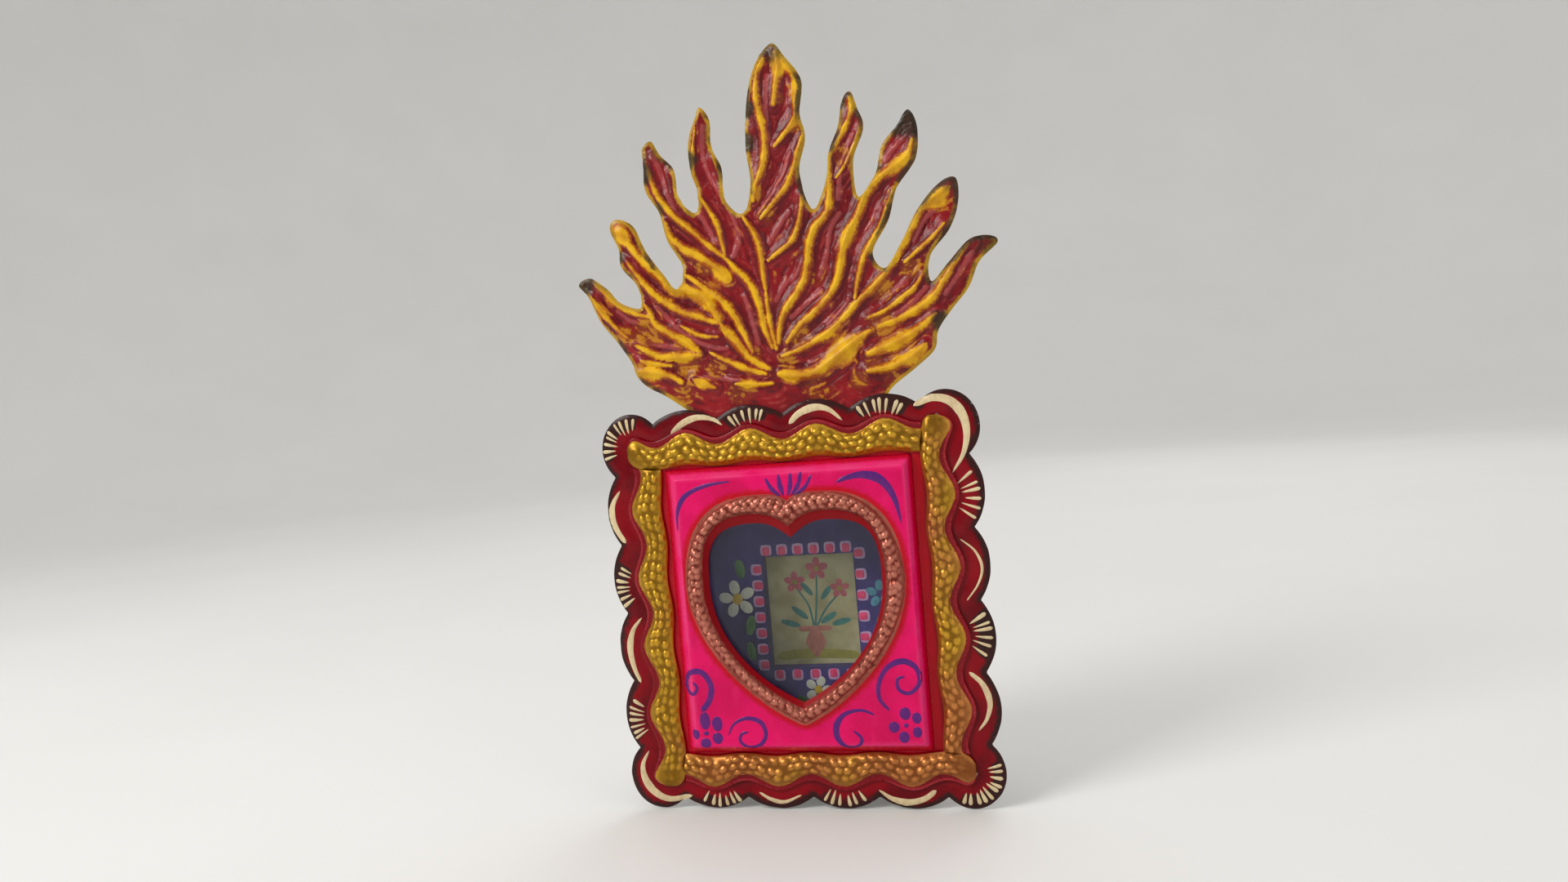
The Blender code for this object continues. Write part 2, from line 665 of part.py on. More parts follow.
def rear_door():
    """One sheet: a lip that grips the right wall, a flat back, and tongues rolled round the hinge wire."""
    top = BOX_Z - REAR_FLANGE - GAP
    lip = BOX_X + GAP + TIN / 2
    roll = arc((HINGE_X, HINGE_Y), KNUCKLE_RADIUS, 90, 345, 10)
    profile = [(lip, -DOOR_LIP), (lip, -TIN / 2), (-BOX_X, -TIN / 2)] + roll
    edges = knuckle_edges()
    rows = [-top]
    for k in range(1, KNUCKLES, 2):
        rows += [edges[k] + GAP, edges[k + 1] - GAP]
    rows.append(top)
    door = sheet(
        "rear_door",
        profile,
        rows,
        lambda point, z: (*point, z),
        BARE_TIN,
        lambda column, row: column < 2 or row % 2 == 1,
    )
    hang(door, door_hinge)


def hinge_leaf():
    """A strip soldered to the left wall, with the other knuckles rolled from its edge."""
    plate = HINGE_X + KNUCKLE_RADIUS
    clear = HINGE_Y - KNUCKLE_RADIUS - TIN / 2 - GAP
    roll = arc((HINGE_X, HINGE_Y), KNUCKLE_RADIUS, 0, 275, 10)
    profile = [(plate, clear - HINGE_LEAF), (plate, clear)] + roll
    sheet(
        "hinge_leaf",
        profile,
        knuckle_edges(),
        lambda point, z: (*point, z),
        BARE_TIN,
        lambda column, row: column < 1 or row % 2 == 0,
    )


def hinge_wire():
    """The hinge pin, with a tail bent forward under the lowest knuckle so that it can't slip out."""
    bend = 2 * PIN_RADIUS
    low = -HINGE_TOP - GAP - PIN_RADIUS
    tail = arc((HINGE_Y - bend, low), bend, 0, -90, 4)
    points = [(HINGE_X, HINGE_Y, HINGE_TOP + PIN_RADIUS)]
    points += [(HINGE_X, y, z) for y, z in tail]
    points.append((HINGE_X, HINGE_Y - bend - PIN_TAIL, low - bend))
    wire("hinge_wire", points, PIN_RADIUS, STEEL_WIRE)


def picture():
    half_x = WINDOW_WIDTH / 2 + TIN + PICTURE_MARGIN
    half_z = WINDOW_HEIGHT / 2 + TIN + PICTURE_MARGIN
    low_z = -half_z - WINDOW_DROP
    high_z = half_z - WINDOW_DROP
    backing = block(
        "picture_backing", (-half_x, BACKING_FACE, low_z), (half_x, BACKING_BACK, high_z), BOARD
    )
    card = block(
        "picture_card",
        (-half_x, PICTURE_FACE, low_z),
        (half_x, PICTURE_FACE + PICTURE_THICKNESS, high_z),
        PRINT,
    )
    hang(backing, door_hinge)
    hang(card, door_hinge)


def hanger():
    """A ring lying forward on the box's top, held by a strap bent over its wire."""
    loop = RING_WIRE + STRAP_PLAY + TIN / 2
    foot_z = BOX_Z + GAP + TIN / 2
    hump = arc((-RING_SETBACK, RING_Z), loop, 180, 0, 10)
    profile = [(-RING_SETBACK - loop - STRAP_FOOT, foot_z), (-RING_SETBACK - loop, foot_z)]
    profile += hump
    profile += [(-RING_SETBACK + loop, foot_z), (-RING_SETBACK + loop + STRAP_FOOT, foot_z)]
    rows = (-STRAP_WIDTH / 2, STRAP_WIDTH / 2)
    sheet("hanger_strap", profile, rows, lambda point, x: (x, *point), BARE_TIN)
    circle = arc((0.0, -RING_SETBACK - RING_RADIUS), RING_RADIUS, 0, 360, 36)[:-1]
    ring = wire("hanging_ring", [(x, y, RING_Z) for x, y in circle], RING_WIRE, STEEL_WIRE, True)
    hang(ring, ring_hinge)


def shade_round():
    """Smooth shading with sharp folds on every mesh."""
    for item in parts.objects:
        if item.type == "MESH":
            item.data.shade_smooth()
            item.data.set_sharp_from_angle(angle=radians(35))


scalloped_frame()
beaded_strips()
heart_panel()
flame_crest()
glass()
glass_tabs()
box_shell()
niche_panel()
rear_door()
hinge_leaf()
hinge_wire()
picture()
hanger()
shade_round()
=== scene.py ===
# %% [markdown]
# # A painted tin nicho
# A nicho is a small wall box of tin: a scalloped front with beaded strips, a raised panel with a heart
# window, and a crest of flames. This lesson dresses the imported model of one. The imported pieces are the
# fixed frame, so every new surface takes its place and size from them.

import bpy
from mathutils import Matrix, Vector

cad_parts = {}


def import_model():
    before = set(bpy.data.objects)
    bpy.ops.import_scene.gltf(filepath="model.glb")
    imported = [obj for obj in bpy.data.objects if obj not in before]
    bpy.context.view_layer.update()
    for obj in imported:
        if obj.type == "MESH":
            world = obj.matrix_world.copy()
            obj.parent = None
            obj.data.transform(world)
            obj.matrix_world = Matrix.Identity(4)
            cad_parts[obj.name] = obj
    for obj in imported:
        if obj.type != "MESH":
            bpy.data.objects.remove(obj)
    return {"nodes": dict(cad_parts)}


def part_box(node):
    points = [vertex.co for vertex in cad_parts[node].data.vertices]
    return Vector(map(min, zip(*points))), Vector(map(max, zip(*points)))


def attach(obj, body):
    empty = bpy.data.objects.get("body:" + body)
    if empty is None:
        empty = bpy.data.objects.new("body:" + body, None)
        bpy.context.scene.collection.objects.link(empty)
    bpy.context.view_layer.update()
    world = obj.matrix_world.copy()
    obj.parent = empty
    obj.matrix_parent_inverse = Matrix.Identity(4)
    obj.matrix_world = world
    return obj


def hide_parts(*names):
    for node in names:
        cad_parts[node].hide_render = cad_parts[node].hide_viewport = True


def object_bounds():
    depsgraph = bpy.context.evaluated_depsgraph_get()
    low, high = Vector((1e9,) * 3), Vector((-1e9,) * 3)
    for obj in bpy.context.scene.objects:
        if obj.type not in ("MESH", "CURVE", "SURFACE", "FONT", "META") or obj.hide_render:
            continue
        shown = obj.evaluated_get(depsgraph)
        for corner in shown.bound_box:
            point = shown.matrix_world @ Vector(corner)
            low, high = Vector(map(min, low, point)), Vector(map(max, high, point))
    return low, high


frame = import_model()
cad_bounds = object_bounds()
print("CAD box", [tuple(round(v, 4) for v in corner) for corner in cad_bounds])

# %% [markdown]
# ## One grid for the whole front
# All the ornament lies on the front, so it is easiest to describe it as the maker sees it: millimetres to
# the right and up from the middle of the front, and `lift` out of the flat sheet towards the viewer.
# One function turns such points into the model's metres.

# %% Sheet coordinates
import random
from math import atan2, cos, pi, radians, sin, sqrt

import bmesh
import bpy
import numpy as np
from mathutils import Vector, kdtree, noise
from mathutils.geometry import delaunay_2d_cdt, interpolate_bezier

MM = 0.001
TIN = 0.5
GAP = 0.3
sheet_low, sheet_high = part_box("scalloped_frame")
panel_low, panel_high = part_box("heart_panel")
FACE_Y = sheet_low.y
MIDDLE_Z = (sheet_low.z + sheet_high.z) / 2
HALF_X = sheet_high.x / MM
HALF_Z = (sheet_high.z - sheet_low.z) / 2 / MM
PANEL_X = panel_high.x / MM
PANEL_Z = (panel_high.z - panel_low.z) / 2 / MM


def world(points):
    """Rows of (x, lift, z) in millimetres as points of the model."""
    points = np.asarray(points, float)
    return np.stack(
        [points[:, 0] * MM, FACE_Y - points[:, 1] * MM, MIDDLE_Z + points[:, 2] * MM], axis=1
    )


print(f"sheet {2 * HALF_X:.1f} x {2 * HALF_Z:.1f} mm, panel {2 * PANEL_X:.1f} x {2 * PANEL_Z:.1f} mm")

# %% [markdown]
# ## Camera, floor and light
# The view is a little to the right of the middle and just above it, from about a quarter of a metre, so
# the perspective is strong. The floor sweeps up into a backdrop. The lamps are large and soft, as near a
# window, because gloss paint shows the shape of what it mirrors.

# %% Camera
CAMERA_FROM_FRONT = (59.45, 257.2, 52.9)
CAMERA_TURN = (87.57, 4.82, 12.79)
LENS = 24.375
camera_data = bpy.data.cameras.new("camera")
camera_data.lens = LENS
camera_data.sensor_width = 36.0
camera_data.clip_start = 0.01
camera = bpy.data.objects.new("camera", camera_data)
right, away, up = CAMERA_FROM_FRONT
camera.location = world([(right, away, up)])[0]
camera.rotation_euler = [radians(turn) for turn in CAMERA_TURN]
bpy.context.scene.collection.objects.link(camera)
bpy.context.scene.camera = camera
bpy.context.scene.view_settings.view_transform = "Standard"
print("camera at", [round(v, 4) for v in camera.location])

# %% [markdown]
# ## Shader maths as Python
# A finish is a recipe: noise times a mask, one minus the mask, and so on. Writing `1 - mask` is easier to
# read than three nodes, so a small class wraps a socket and lets Python's operators add the Math nodes.

# %% The socket class


class Sock:
    """One output socket that takes part in Python expressions."""

    def __init__(self, finish, socket):
        self.finish = finish
        self.socket = socket

    def join(self, operation, first, second):
        return self.finish.node("ShaderNodeMath", {"operation": operation}, {0: first, 1: second})

    def __add__(self, other):
        return self.join("ADD", self, other)

    def __radd__(self, other):
        return self.join("ADD", other, self)

    def __sub__(self, other):
        return self.join("SUBTRACT", self, other)

    def __rsub__(self, other):
        return self.join("SUBTRACT", other, self)

    def __mul__(self, other):
        return self.join("MULTIPLY", self, other)

    def __rmul__(self, other):
        return self.join("MULTIPLY", other, self)

    def higher(self, other):
        return self.join("MAXIMUM", self, other)


print("sockets can be added, subtracted, multiplied and compared")

# %% [markdown]
# A second class holds one material. Its `node` method makes every other kind of node: it takes the type,
# the settings, which are set first, and the values or links of the sockets. The short methods after it
# are the patterns that the finishes share. Noise sizes are given in millimetres of the real surface.

# %% The finish class
# A Mix node has a set of sockets for each kind of data. These are the places of the colour ones.
MIX_FACTOR = 0
MIX_FIRST = 6
MIX_SECOND = 7
MIX_RESULT = 2


class Finish:
    """A Principled material under construction; `fixed` values go straight on the shader's sockets."""

    def __init__(self, name, fixed):
        self.material = bpy.data.materials.new(name)
        self.material.use_nodes = True
        self.tree = self.material.node_tree
        self.shader = self.tree.nodes["Principled BSDF"]
        for socket, value in fixed.items():
            self.shader.inputs[socket].default_value = value

    def node(self, kind, settings=None, sockets=None, output=0):
        """Adds a node, sets its settings, then fills or links its sockets."""
        made = self.tree.nodes.new(kind)
        for key, value in (settings or {}).items():
            setattr(made, key, value)
        for key, value in (sockets or {}).items():
            self.feed(made.inputs[key], value)
        return Sock(self, made.outputs[output])

    def feed(self, socket, value):
        if isinstance(value, Sock):
            self.tree.links.new(value.socket, socket)
        elif socket.type == "RGBA":
            socket.default_value = (*value, 1.0)
        else:
            socket.default_value = value

    def drive(self, links):
        """Links what varies over the surface to the shader."""
        for socket, value in links.items():
            self.feed(self.shader.inputs[socket], value)
        return self.material

    def place(self, stretch=(1.0, 1.0, 1.0)):
        spot = self.node("ShaderNodeTexCoord", output="Object")
        return self.node("ShaderNodeVectorMath", {"operation": "MULTIPLY"}, {0: spot, 1: stretch})

    def grain(self, size, detail=3.0, stretch=(1.0, 1.0, 1.0), twist=0.0):
        """Noise whose features are about `size` millimetres across."""
        sockets = {
            "Vector": self.place(stretch),
            "Scale": 1.0 / (size * MM),
            "Detail": detail,
            "Distortion": twist,
        }
        return self.node("ShaderNodeTexNoise", None, sockets)

    def mark(self, name):
        """A value that was written on the mesh's points."""
        return self.node("ShaderNodeAttribute", {"attribute_name": name}, output="Fac")

    def fade(self, value, low, high):
        """0 below low, 1 above high and a smooth step between; high may be the smaller one."""
        sockets = {"Value": value, "From Min": low, "From Max": high}
        return self.node("ShaderNodeMapRange", {"interpolation_type": "SMOOTHSTEP"}, sockets)

    def mix(self, factor, first, second):
        """A colour between two others."""
        sockets = {MIX_FACTOR: factor, MIX_FIRST: first, MIX_SECOND: second}
        return self.node("ShaderNodeMix", {"data_type": "RGBA"}, sockets, MIX_RESULT)

    def bump(self, height, depth, strength=1.0):
        """Unevenness that is `depth` millimetres high."""
        sockets = {"Strength": strength, "Distance": depth * MM, "Height": height}
        return self.node("ShaderNodeBump", None, sockets)


def paint(red, green, blue):
    """A colour as a paint chart gives it, 0 to 255, in the renderer's linear scale (the sRGB curve)."""
    shares = [value / 255 for value in (red, green, blue)]
    return tuple(s / 12.92 if s <= 0.04045 else ((s + 0.055) / 1.055) ** 2.4 for s in shares)


def gloss(coat, coat_roughness, specular):
    """The fixed sockets of a glossy paint."""
    return {"Coat Weight": coat, "Coat Roughness": coat_roughness, "Specular IOR Level": specular}


print("one crimson is", [round(value, 3) for value in paint(140, 5, 20)])

# %% [markdown]
# The floor is plain and pale. It bends up into a wall far away on every side, like a wide bowl, so no
# horizon shows from any angle. Half its section is turned once round the middle. A faint mottling keeps
# it from looking like empty space.

# %% Floor and backdrop
FLOOR_RADIUS = 1.2
BEND_RADIUS = 1.0
BEND_STEPS = 24
WALL_TOP = 3.4
TURN_STEPS = 96


def backdrop():
    """Makes the bowl and returns the height of its floor."""
    floor_z = cad_bounds[0].z - GAP * MM
    profile = [(0.0, floor_z), (FLOOR_RADIUS, floor_z)]
    for step in range(1, BEND_STEPS + 1):
        angle = pi / 2 * step / BEND_STEPS
        reach = FLOOR_RADIUS + BEND_RADIUS * sin(angle)
        profile.append((reach, floor_z + BEND_RADIUS * (1 - cos(angle))))
    profile.append((FLOOR_RADIUS + BEND_RADIUS, WALL_TOP))
    bm = bmesh.new()
    section = [bm.verts.new((reach, 0.0, z)) for reach, z in profile]
    joins = [bm.edges.new(pair) for pair in zip(section, section[1:])]
    bmesh.ops.spin(bm, geom=section + joins, axis=(0.0, 0.0, 1.0), angle=2 * pi, steps=TURN_STEPS)
    bmesh.ops.remove_doubles(bm, verts=bm.verts, dist=MM)
    mesh = bpy.data.meshes.new("floor")
    bm.to_mesh(mesh)
    bm.free()
    mesh.shade_smooth()
    sweep = bpy.data.objects.new("floor", mesh)
    bpy.context.scene.collection.objects.link(sweep)
    finish = Finish("pale_floor", {"Roughness": 0.75, "Specular IOR Level": 0.2})
    cloud = finish.grain(160.0, 2.0)
    tone = finish.mix(cloud, paint(224, 223, 220), paint(231, 230, 228))
    mesh.materials.append(finish.drive({"Base Color": tone}))
    return floor_z


print(f"floor at {backdrop():.4f} m")

# %% [markdown]
# A large window to the left gives most of the light, as soft as on a cloudy day. A weak one on the right
# and one behind keep the other sides readable, and a wide ceiling fills the shadows. Small lamps would
# leave hard sparks on the gloss. The world adds a little grey light from everywhere.

# %% Lamps and surroundings
NICHO = Vector((0.0, FACE_Y, MIDDLE_Z))
LAMPS = [
    ("window_left", (-0.6, -0.6, 0.6), 0.42, 6.0, (1.0, 0.99, 0.97)),
    ("window_right", (0.75, -0.5, 0.3), 0.5, 0.8, (0.96, 0.98, 1.0)),
    ("window_behind", (0.3, 0.9, 0.6), 0.6, 1.4, (1.0, 0.99, 0.98)),
    ("ceiling", (0.0, 0.3, 2.9), 2.6, 32.0, (1.0, 1.0, 1.0)),
]
SKY_TINT = (0.95, 0.97, 1.0, 1.0)
SKY_STRENGTH = 0.25


def lamps():
    """Square lamps, all turned to the nicho."""
    for name, place, size, power, tint in LAMPS:
        data = bpy.data.lights.new(name, "AREA")
        data.size = size
        data.energy = power
        data.color = tint
        lamp = bpy.data.objects.new(name, data)
        lamp.location = place
        lamp.rotation_euler = (NICHO - lamp.location).to_track_quat("-Z", "Y").to_euler()
        bpy.context.scene.collection.objects.link(lamp)


def surroundings():
    """A soft grey sky over the bowl."""
    sky = bpy.data.worlds.new("studio")
    sky.use_nodes = True
    background = sky.node_tree.nodes["Background"]
    background.inputs["Color"].default_value = SKY_TINT
    background.inputs["Strength"].default_value = SKY_STRENGTH
    bpy.context.scene.world = sky


lamps()
surroundings()
print(len(LAMPS), "lamps")

# %% [markdown]
# ## Bare tin
# What isn't painted is tinplate: bright, but dulled by handling, with a faint spangle from the dipping,
# fine scratches and brown flux stains. The wire is darker, and the solder is lead grey and lumpy. One flat
# grey would look like plastic, so noise of several sizes steers the colour, the roughness and the bump.

# %% Tin, wire and solder
SPANGLE = 4.0


def tinplate():
    finish = Finish("tinplate", {"Metallic": 1.0})
    lattice = {"Vector": finish.place(), "Scale": 1.0 / (SPANGLE * MM)}
    cells = finish.node("ShaderNodeTexVoronoi", None, lattice, output="Color")
    spangle = finish.node("ShaderNodeSeparateColor", None, {0: cells})
    scratch = finish.grain(0.5, 3.0, (1.0, 1.0, 0.03))
    nick = finish.fade(finish.grain(0.7, 3.0, (0.12, 1.0, 1.0), 0.5), 0.66, 0.72)
    cloud = finish.grain(22.0, 3.0)
    stain = finish.fade(finish.grain(16.0, 5.0, twist=1.5), 0.6, 0.8)
    grey = finish.mix(spangle, paint(184, 184, 181), paint(206, 206, 203))
    dull = finish.mix(finish.fade(cloud, 0.45, 0.75) * 0.6, grey, paint(164, 162, 156))
    scored = finish.mix(nick * 0.4, dull, paint(150, 148, 142))
    tone = finish.mix(stain * 0.4, scored, paint(150, 126, 96))
    rough = 0.12 + 0.12 * spangle + 0.12 * cloud + 0.06 * scratch + 0.16 * stain
    relief = finish.bump(0.7 * scratch + 0.5 * cloud - 0.5 * nick, 0.025, 0.5)
    return finish.drive({"Base Color": tone, "Roughness": rough, "Normal": relief})


def drawn_wire():
    finish = Finish("drawn_wire", {"Metallic": 1.0})
    cloud = finish.grain(4.0, 4.0)
    rust = finish.fade(finish.grain(2.2, 4.0), 0.6, 0.72)
    tone = finish.mix(cloud, paint(150, 148, 144), paint(178, 176, 171))
    wear_and_bend_highlight = finish.mix(rust * 0.7, tone, paint(110, 70, 42))
    relief = finish.bump(finish.grain(0.4, 3.0), 0.02, 0.6)
    rough = 0.26 + 0.3 * rust + 0.1 * cloud
    return finish.drive({"Base Color": wear_and_bend_highlight, "Roughness": rough, "Normal": relief})


def lead_solder():
    finish = Finish("lead_solder", {"Metallic": 0.85})
    cloud = finish.grain(1.6, 4.0)
    flux = finish.fade(finish.grain(3.0, 3.0), 0.58, 0.7)
    tone = finish.mix(cloud, paint(128, 128, 126), paint(170, 170, 168))
    burnt = finish.mix(flux * 0.8, tone, paint(82, 62, 40))
    relief = finish.bump(cloud, 0.12, 0.8)
    return finish.drive({"Base Color": burnt, "Roughness": 0.3 + 0.25 * cloud, "Normal": relief})


TINPLATE = tinplate()
DRAWN_WIRE = drawn_wire()
SOLDER = lead_solder()
print("metal finishes:", TINPLATE.name, DRAWN_WIRE.name, SOLDER.name)

# %% [markdown]
# ## From a surface to a piece of tin
# Each painted piece begins as an open surface of points and faces. Two helpers finish it. `pressed`
# gives it its thickness: the front takes the embossing, the rear stays one sheet behind and is bare tin,
# and a wall closes the edge. A Solidify modifier would do so too, but would carry every bead through to the
# rear. `add_piece` puts the mesh in the scene and lets it ride on its body.

# %% Helpers for meshes
SHARP_ANGLE = 50.0


def add_piece(name, points, faces, materials, body="nicho"):
    """An object from points in sheet coordinates, on its body and with its material slot."""
    mesh = bpy.data.meshes.new(name)
    mesh.from_pydata(world(points).tolist(), [], faces)
    for material in materials:
        mesh.materials.append(material)
    mesh.shade_smooth()
    mesh.set_sharp_from_angle(angle=radians(SHARP_ANGLE))
    piece = bpy.data.objects.new(name, mesh)
    bpy.context.scene.collection.objects.link(piece)
    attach(piece, body)
    return piece


def surface_normals(points, faces):
    """Unit normals at the points, in sheet coordinates."""
    mesh = bpy.data.meshes.new("normals")
    mesh.from_pydata(world(points).tolist(), [], faces)
    normals = np.array([item.vector for item in mesh.vertex_normals])
    bpy.data.meshes.remove(mesh)
    return normals * (1.0, -1.0, 1.0)


def open_edges(faces):
    """Edges with a face on one side only, in that face's direction."""
    directed = {(face[i - 1], face[i]) for face in faces for i in range(len(face))}
    return [(a, b) for a, b in directed if (b, a) not in directed]


def pressed(name, base, faces, emboss, marks, front_finish):
    """A closed piece of tin from an open surface; marks are values for its front points."""
    base = np.asarray(base, float)
    normals = surface_normals(base, faces)
    if normals[:, 1].mean() < 0:
        faces = [face[::-1] for face in faces]
        normals = -normals
    count = len(base)
    front = base.copy()
    front[:, 1] += emboss
    rear = base - TIN * normals
    walls = [(b, a, a + count, b + count) for a, b in open_edges(faces)]
    rear_faces = [tuple(i + count for i in face[::-1]) for face in faces]
    every = [tuple(face) for face in faces] + walls + rear_faces
    piece = add_piece(name, np.concatenate([front, rear]), every, [front_finish, TINPLATE])
    bare = np.zeros(len(every), np.int32)
    bare[len(faces) + len(walls):] = 1
    piece.data.polygons.foreach_set("material_index", bare)
    for mark, values in marks.items():
        written = piece.data.attributes.new(mark, "FLOAT", "POINT")
        written.data.foreach_set("value", np.concatenate([values, values]).astype(np.float32))
    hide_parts(name.removesuffix("_skin"))


def grid_faces(rows, columns, closed=False):
    """Quads between neighbouring rows of a grid; closed joins the last column to the first."""
    faces = []
    for i in range(rows - 1):
        for j in range(columns if closed else columns - 1):
            k = (j + 1) % columns
            faces.append((i * columns + j, (i + 1) * columns + j, (i + 1) * columns + k, i * columns + k))
    return faces


print("a grid of 3 by 4 points has", len(grid_faces(3, 4)), "faces")

# %% [markdown]
# Ornament is made of lines. Curve objects could hold them, but arrays of points can also be measured. One
# helper spaces points evenly, one draws a smooth curve through given points, and one finds the nearest
# point of a line. `hammer` gives the soft unevenness of beaten tin at any size.

# %% Helpers for lines
CURVE_STEPS = 12


def lengths_along(line):
    """How far along the line each of its points is."""
    return np.concatenate([[0.0], np.cumsum(np.hypot(*np.diff(line, axis=0).T))])


def resampled(line, count):
    """The same line with `count` points at even distances."""
    along = lengths_along(line)
    wanted = np.linspace(0.0, along[-1], count)
    return np.stack([np.interp(wanted, along, line[:, i]) for i in (0, 1)], axis=1)


def even_line(points, step):
    """The same line with points every `step` millimetres or a little less."""
    points = np.asarray(points, float)
    return resampled(points, max(2, int(np.ceil(lengths_along(points)[-1] / step)) + 1))


def ring_line(loop, step):
    """A closed loop as an evenly stepped line that ends where it starts."""
    return even_line(np.concatenate([loop, loop[:1]]), step)


def smooth_line(points, step):
    """A Catmull-Rom curve through the points, evenly stepped."""
    points = np.asarray(points, float)
    ends = np.concatenate([[2 * points[0] - points[1]], points, [2 * points[-1] - points[-2]]])
    t = np.linspace(0.0, 1.0, CURVE_STEPS + 1)[:-1, None]
    dense = []
    for a, b, c, d in zip(ends, ends[1:], ends[2:], ends[3:]):
        bend = 2 * b + (c - a) * t + (2 * a - 5 * b + 4 * c - d) * t ** 2
        dense.append((bend + (3 * b - a - 3 * c + d) * t ** 3) / 2)
    return even_line(np.concatenate(dense + [points[-1:]]), step)


def nearest(points, places):
    """For each point, how far the nearest of the places is, and which one it is."""
    tree = kdtree.KDTree(len(places))
    for i, (x, z) in enumerate(places):
        tree.insert((x, z, 0.0), i)
    tree.balance()
    found = [tree.find((x, z, 0.0)) for x, z in points]
    return np.array([hit[2] for hit in found]), np.array([hit[1] for hit in found])


def hammer(points, size, seed):
    """Soft unevenness between -1 and 1, with dents about `size` millimetres across."""
    return np.array([noise.noise(Vector((x / size, z / size, seed))) for x, z in points])


def smoothstep(value, low, high):
    """0 below low, 1 above high and a smooth step between."""
    t = np.clip((value - low) / (high - low), 0.0, 1.0)
    return t * t * (3 - 2 * t)


print("line helpers ready; a test line has", len(smooth_line([(0, 0), (5, 3), (10, 0)], 0.5)), "points")

# %% [markdown]
# ## Cutting a sheet to an outline
# The frame and the crest are flat sheets cut with snips. Their outlines are far from any grid, so the
# sheet is filled with points in a hexagon pattern and triangulated between the cut edges. Fine, even
# triangles let the hammered relief bend smoothly.

# %% Sheet cutter
RIM_CLEARANCE = 0.6
WELD = 1e-6


def inside(points, loop):
    """True for the points that a closed loop surrounds."""
    result = np.zeros(len(points), bool)
    x, z = points.T
    for (ax, az), (bx, bz) in zip(loop, np.roll(loop, -1, axis=0)):
        crosses = (az > z) != (bz > z)
        if az != bz:
            result ^= crosses & (x < (bx - ax) * (z - az) / (bz - az) + ax)
    return result


def cut_sheet(loops, step):
    """Points and triangles of a sheet inside the first loop and outside the others."""
    rims = [ring_line(loop, step)[:-1] for loop in loops]
    low = rims[0].min(axis=0)
    high = rims[0].max(axis=0)
    rows = np.arange(low[1], high[1], step * sqrt(3) / 2)
    grid = np.array([
        (x, z)
        for k, z in enumerate(rows)
        for x in np.arange(low[0] + (k % 2) * step / 2, high[0], step)
    ])
    kept = np.logical_xor.reduce([inside(grid, rim) for rim in rims])
    grid = grid[kept]
    apart, _ = nearest(grid, np.concatenate(rims))
    grid = grid[apart > RIM_CLEARANCE * step]
    edges = []
    first = 0
    for rim in rims:
        edges += [(first + i, first + (i + 1) % len(rim)) for i in range(len(rim))]
        first += len(rim)
    points = np.concatenate(rims + [grid])
    placed, _, triangles, *_ = delaunay_2d_cdt([Vector(p) for p in points], edges, [], 0, WELD)
    placed = np.array([tuple(p) for p in placed])
    middles = placed[np.array(triangles)].mean(axis=1)
    kept = np.logical_xor.reduce([inside(middles, rim) for rim in rims])
    return placed, [tuple(face) for face, keep in zip(triangles, kept) if keep]


square = 4 * np.array([(0.0, 0.0), (0.0, 1.0), (1.0, 1.0), (1.0, 0.0)])
print("a 4 mm square cut in 1 mm steps has", len(cut_sheet([square], 1.0)[1]), "triangles")

# %% [markdown]
# ## Closed tubes
# Strokes of paint and tacks of solder have the same build: rings of points that are joined by quads, with a
# cap at each end. One helper makes any number of such tubes, and another turns all their faces outward.

# %% Closed tubes


def capped_tubes(tubes):
    """Points and faces of closed tubes; a tube is a list of rings that have equally many points."""
    points = []
    faces = []
    for rings in tubes:
        first = len(points)
        sides = len(rings[0])
        points += [tuple(point) for ring in rings for point in ring]
        faces += [tuple(first + i for i in face) for face in grid_faces(len(rings), sides, closed=True)]
        faces.append(tuple(range(first, first + sides)))
        faces.append(tuple(range(len(points) - 1, len(points) - 1 - sides, -1)))
    return np.array(points), faces


def face_outward(mesh):
    """Turns the faces of closed tubes so that all of them point out."""
    bm = bmesh.new()
    bm.from_mesh(mesh)
    bmesh.ops.recalc_face_normals(bm, faces=bm.faces)
    bm.to_mesh(mesh)
    bm.free()


print("a tube of 3 square rings has", len(capped_tubes([[[(0, 0, 0)] * 4] * 3])[1]), "faces")

# %% [markdown]
# ## Painted strokes
# The maker's strokes are thick enamel that stands up from the sheet and ends in soft points. A stroke here
# is a thin closed lens that follows a given line, with a width at its start, belly and end. It lies on
# the relief below it, so it also bends over the panel's sloping edge. A pattern in the material would have
# no edge to catch the light.

# %% Brush strokes
LENS_ACROSS = (-1.0, -0.6, 0.0, 0.6, 1.0)
PAINT_SUNK = 0.03
STROKE_STEP = 0.4
STROKE_THICKNESS = 0.14
THINNEST = 0.03
BELLY_PLACE = 0.42
BLUNT_TIP = 0.04
FULL_PAINT = 0.35


def stroke_width(line, widths):
    """Half widths along a line; one width and a squareness make a dot, which is oval at 2."""
    t = np.linspace(0.0, 1.0, len(line))
    if len(widths) == 2:
        width, square = widths
        return np.maximum(THINNEST, width / 2 * (1 - np.abs(2 * t - 1) ** square) ** (1 / square))
    start, belly, end = widths
    half = np.interp(t, (0.0, BELLY_PLACE, 1.0), (start, belly, end)) / 2
    along = lengths_along(line)
    from_end = np.minimum(along, along[-1] - along)
    return np.maximum(THINNEST, half * np.sqrt(np.clip(from_end / half.max() + BLUNT_TIP, 0.0, 1.0)))


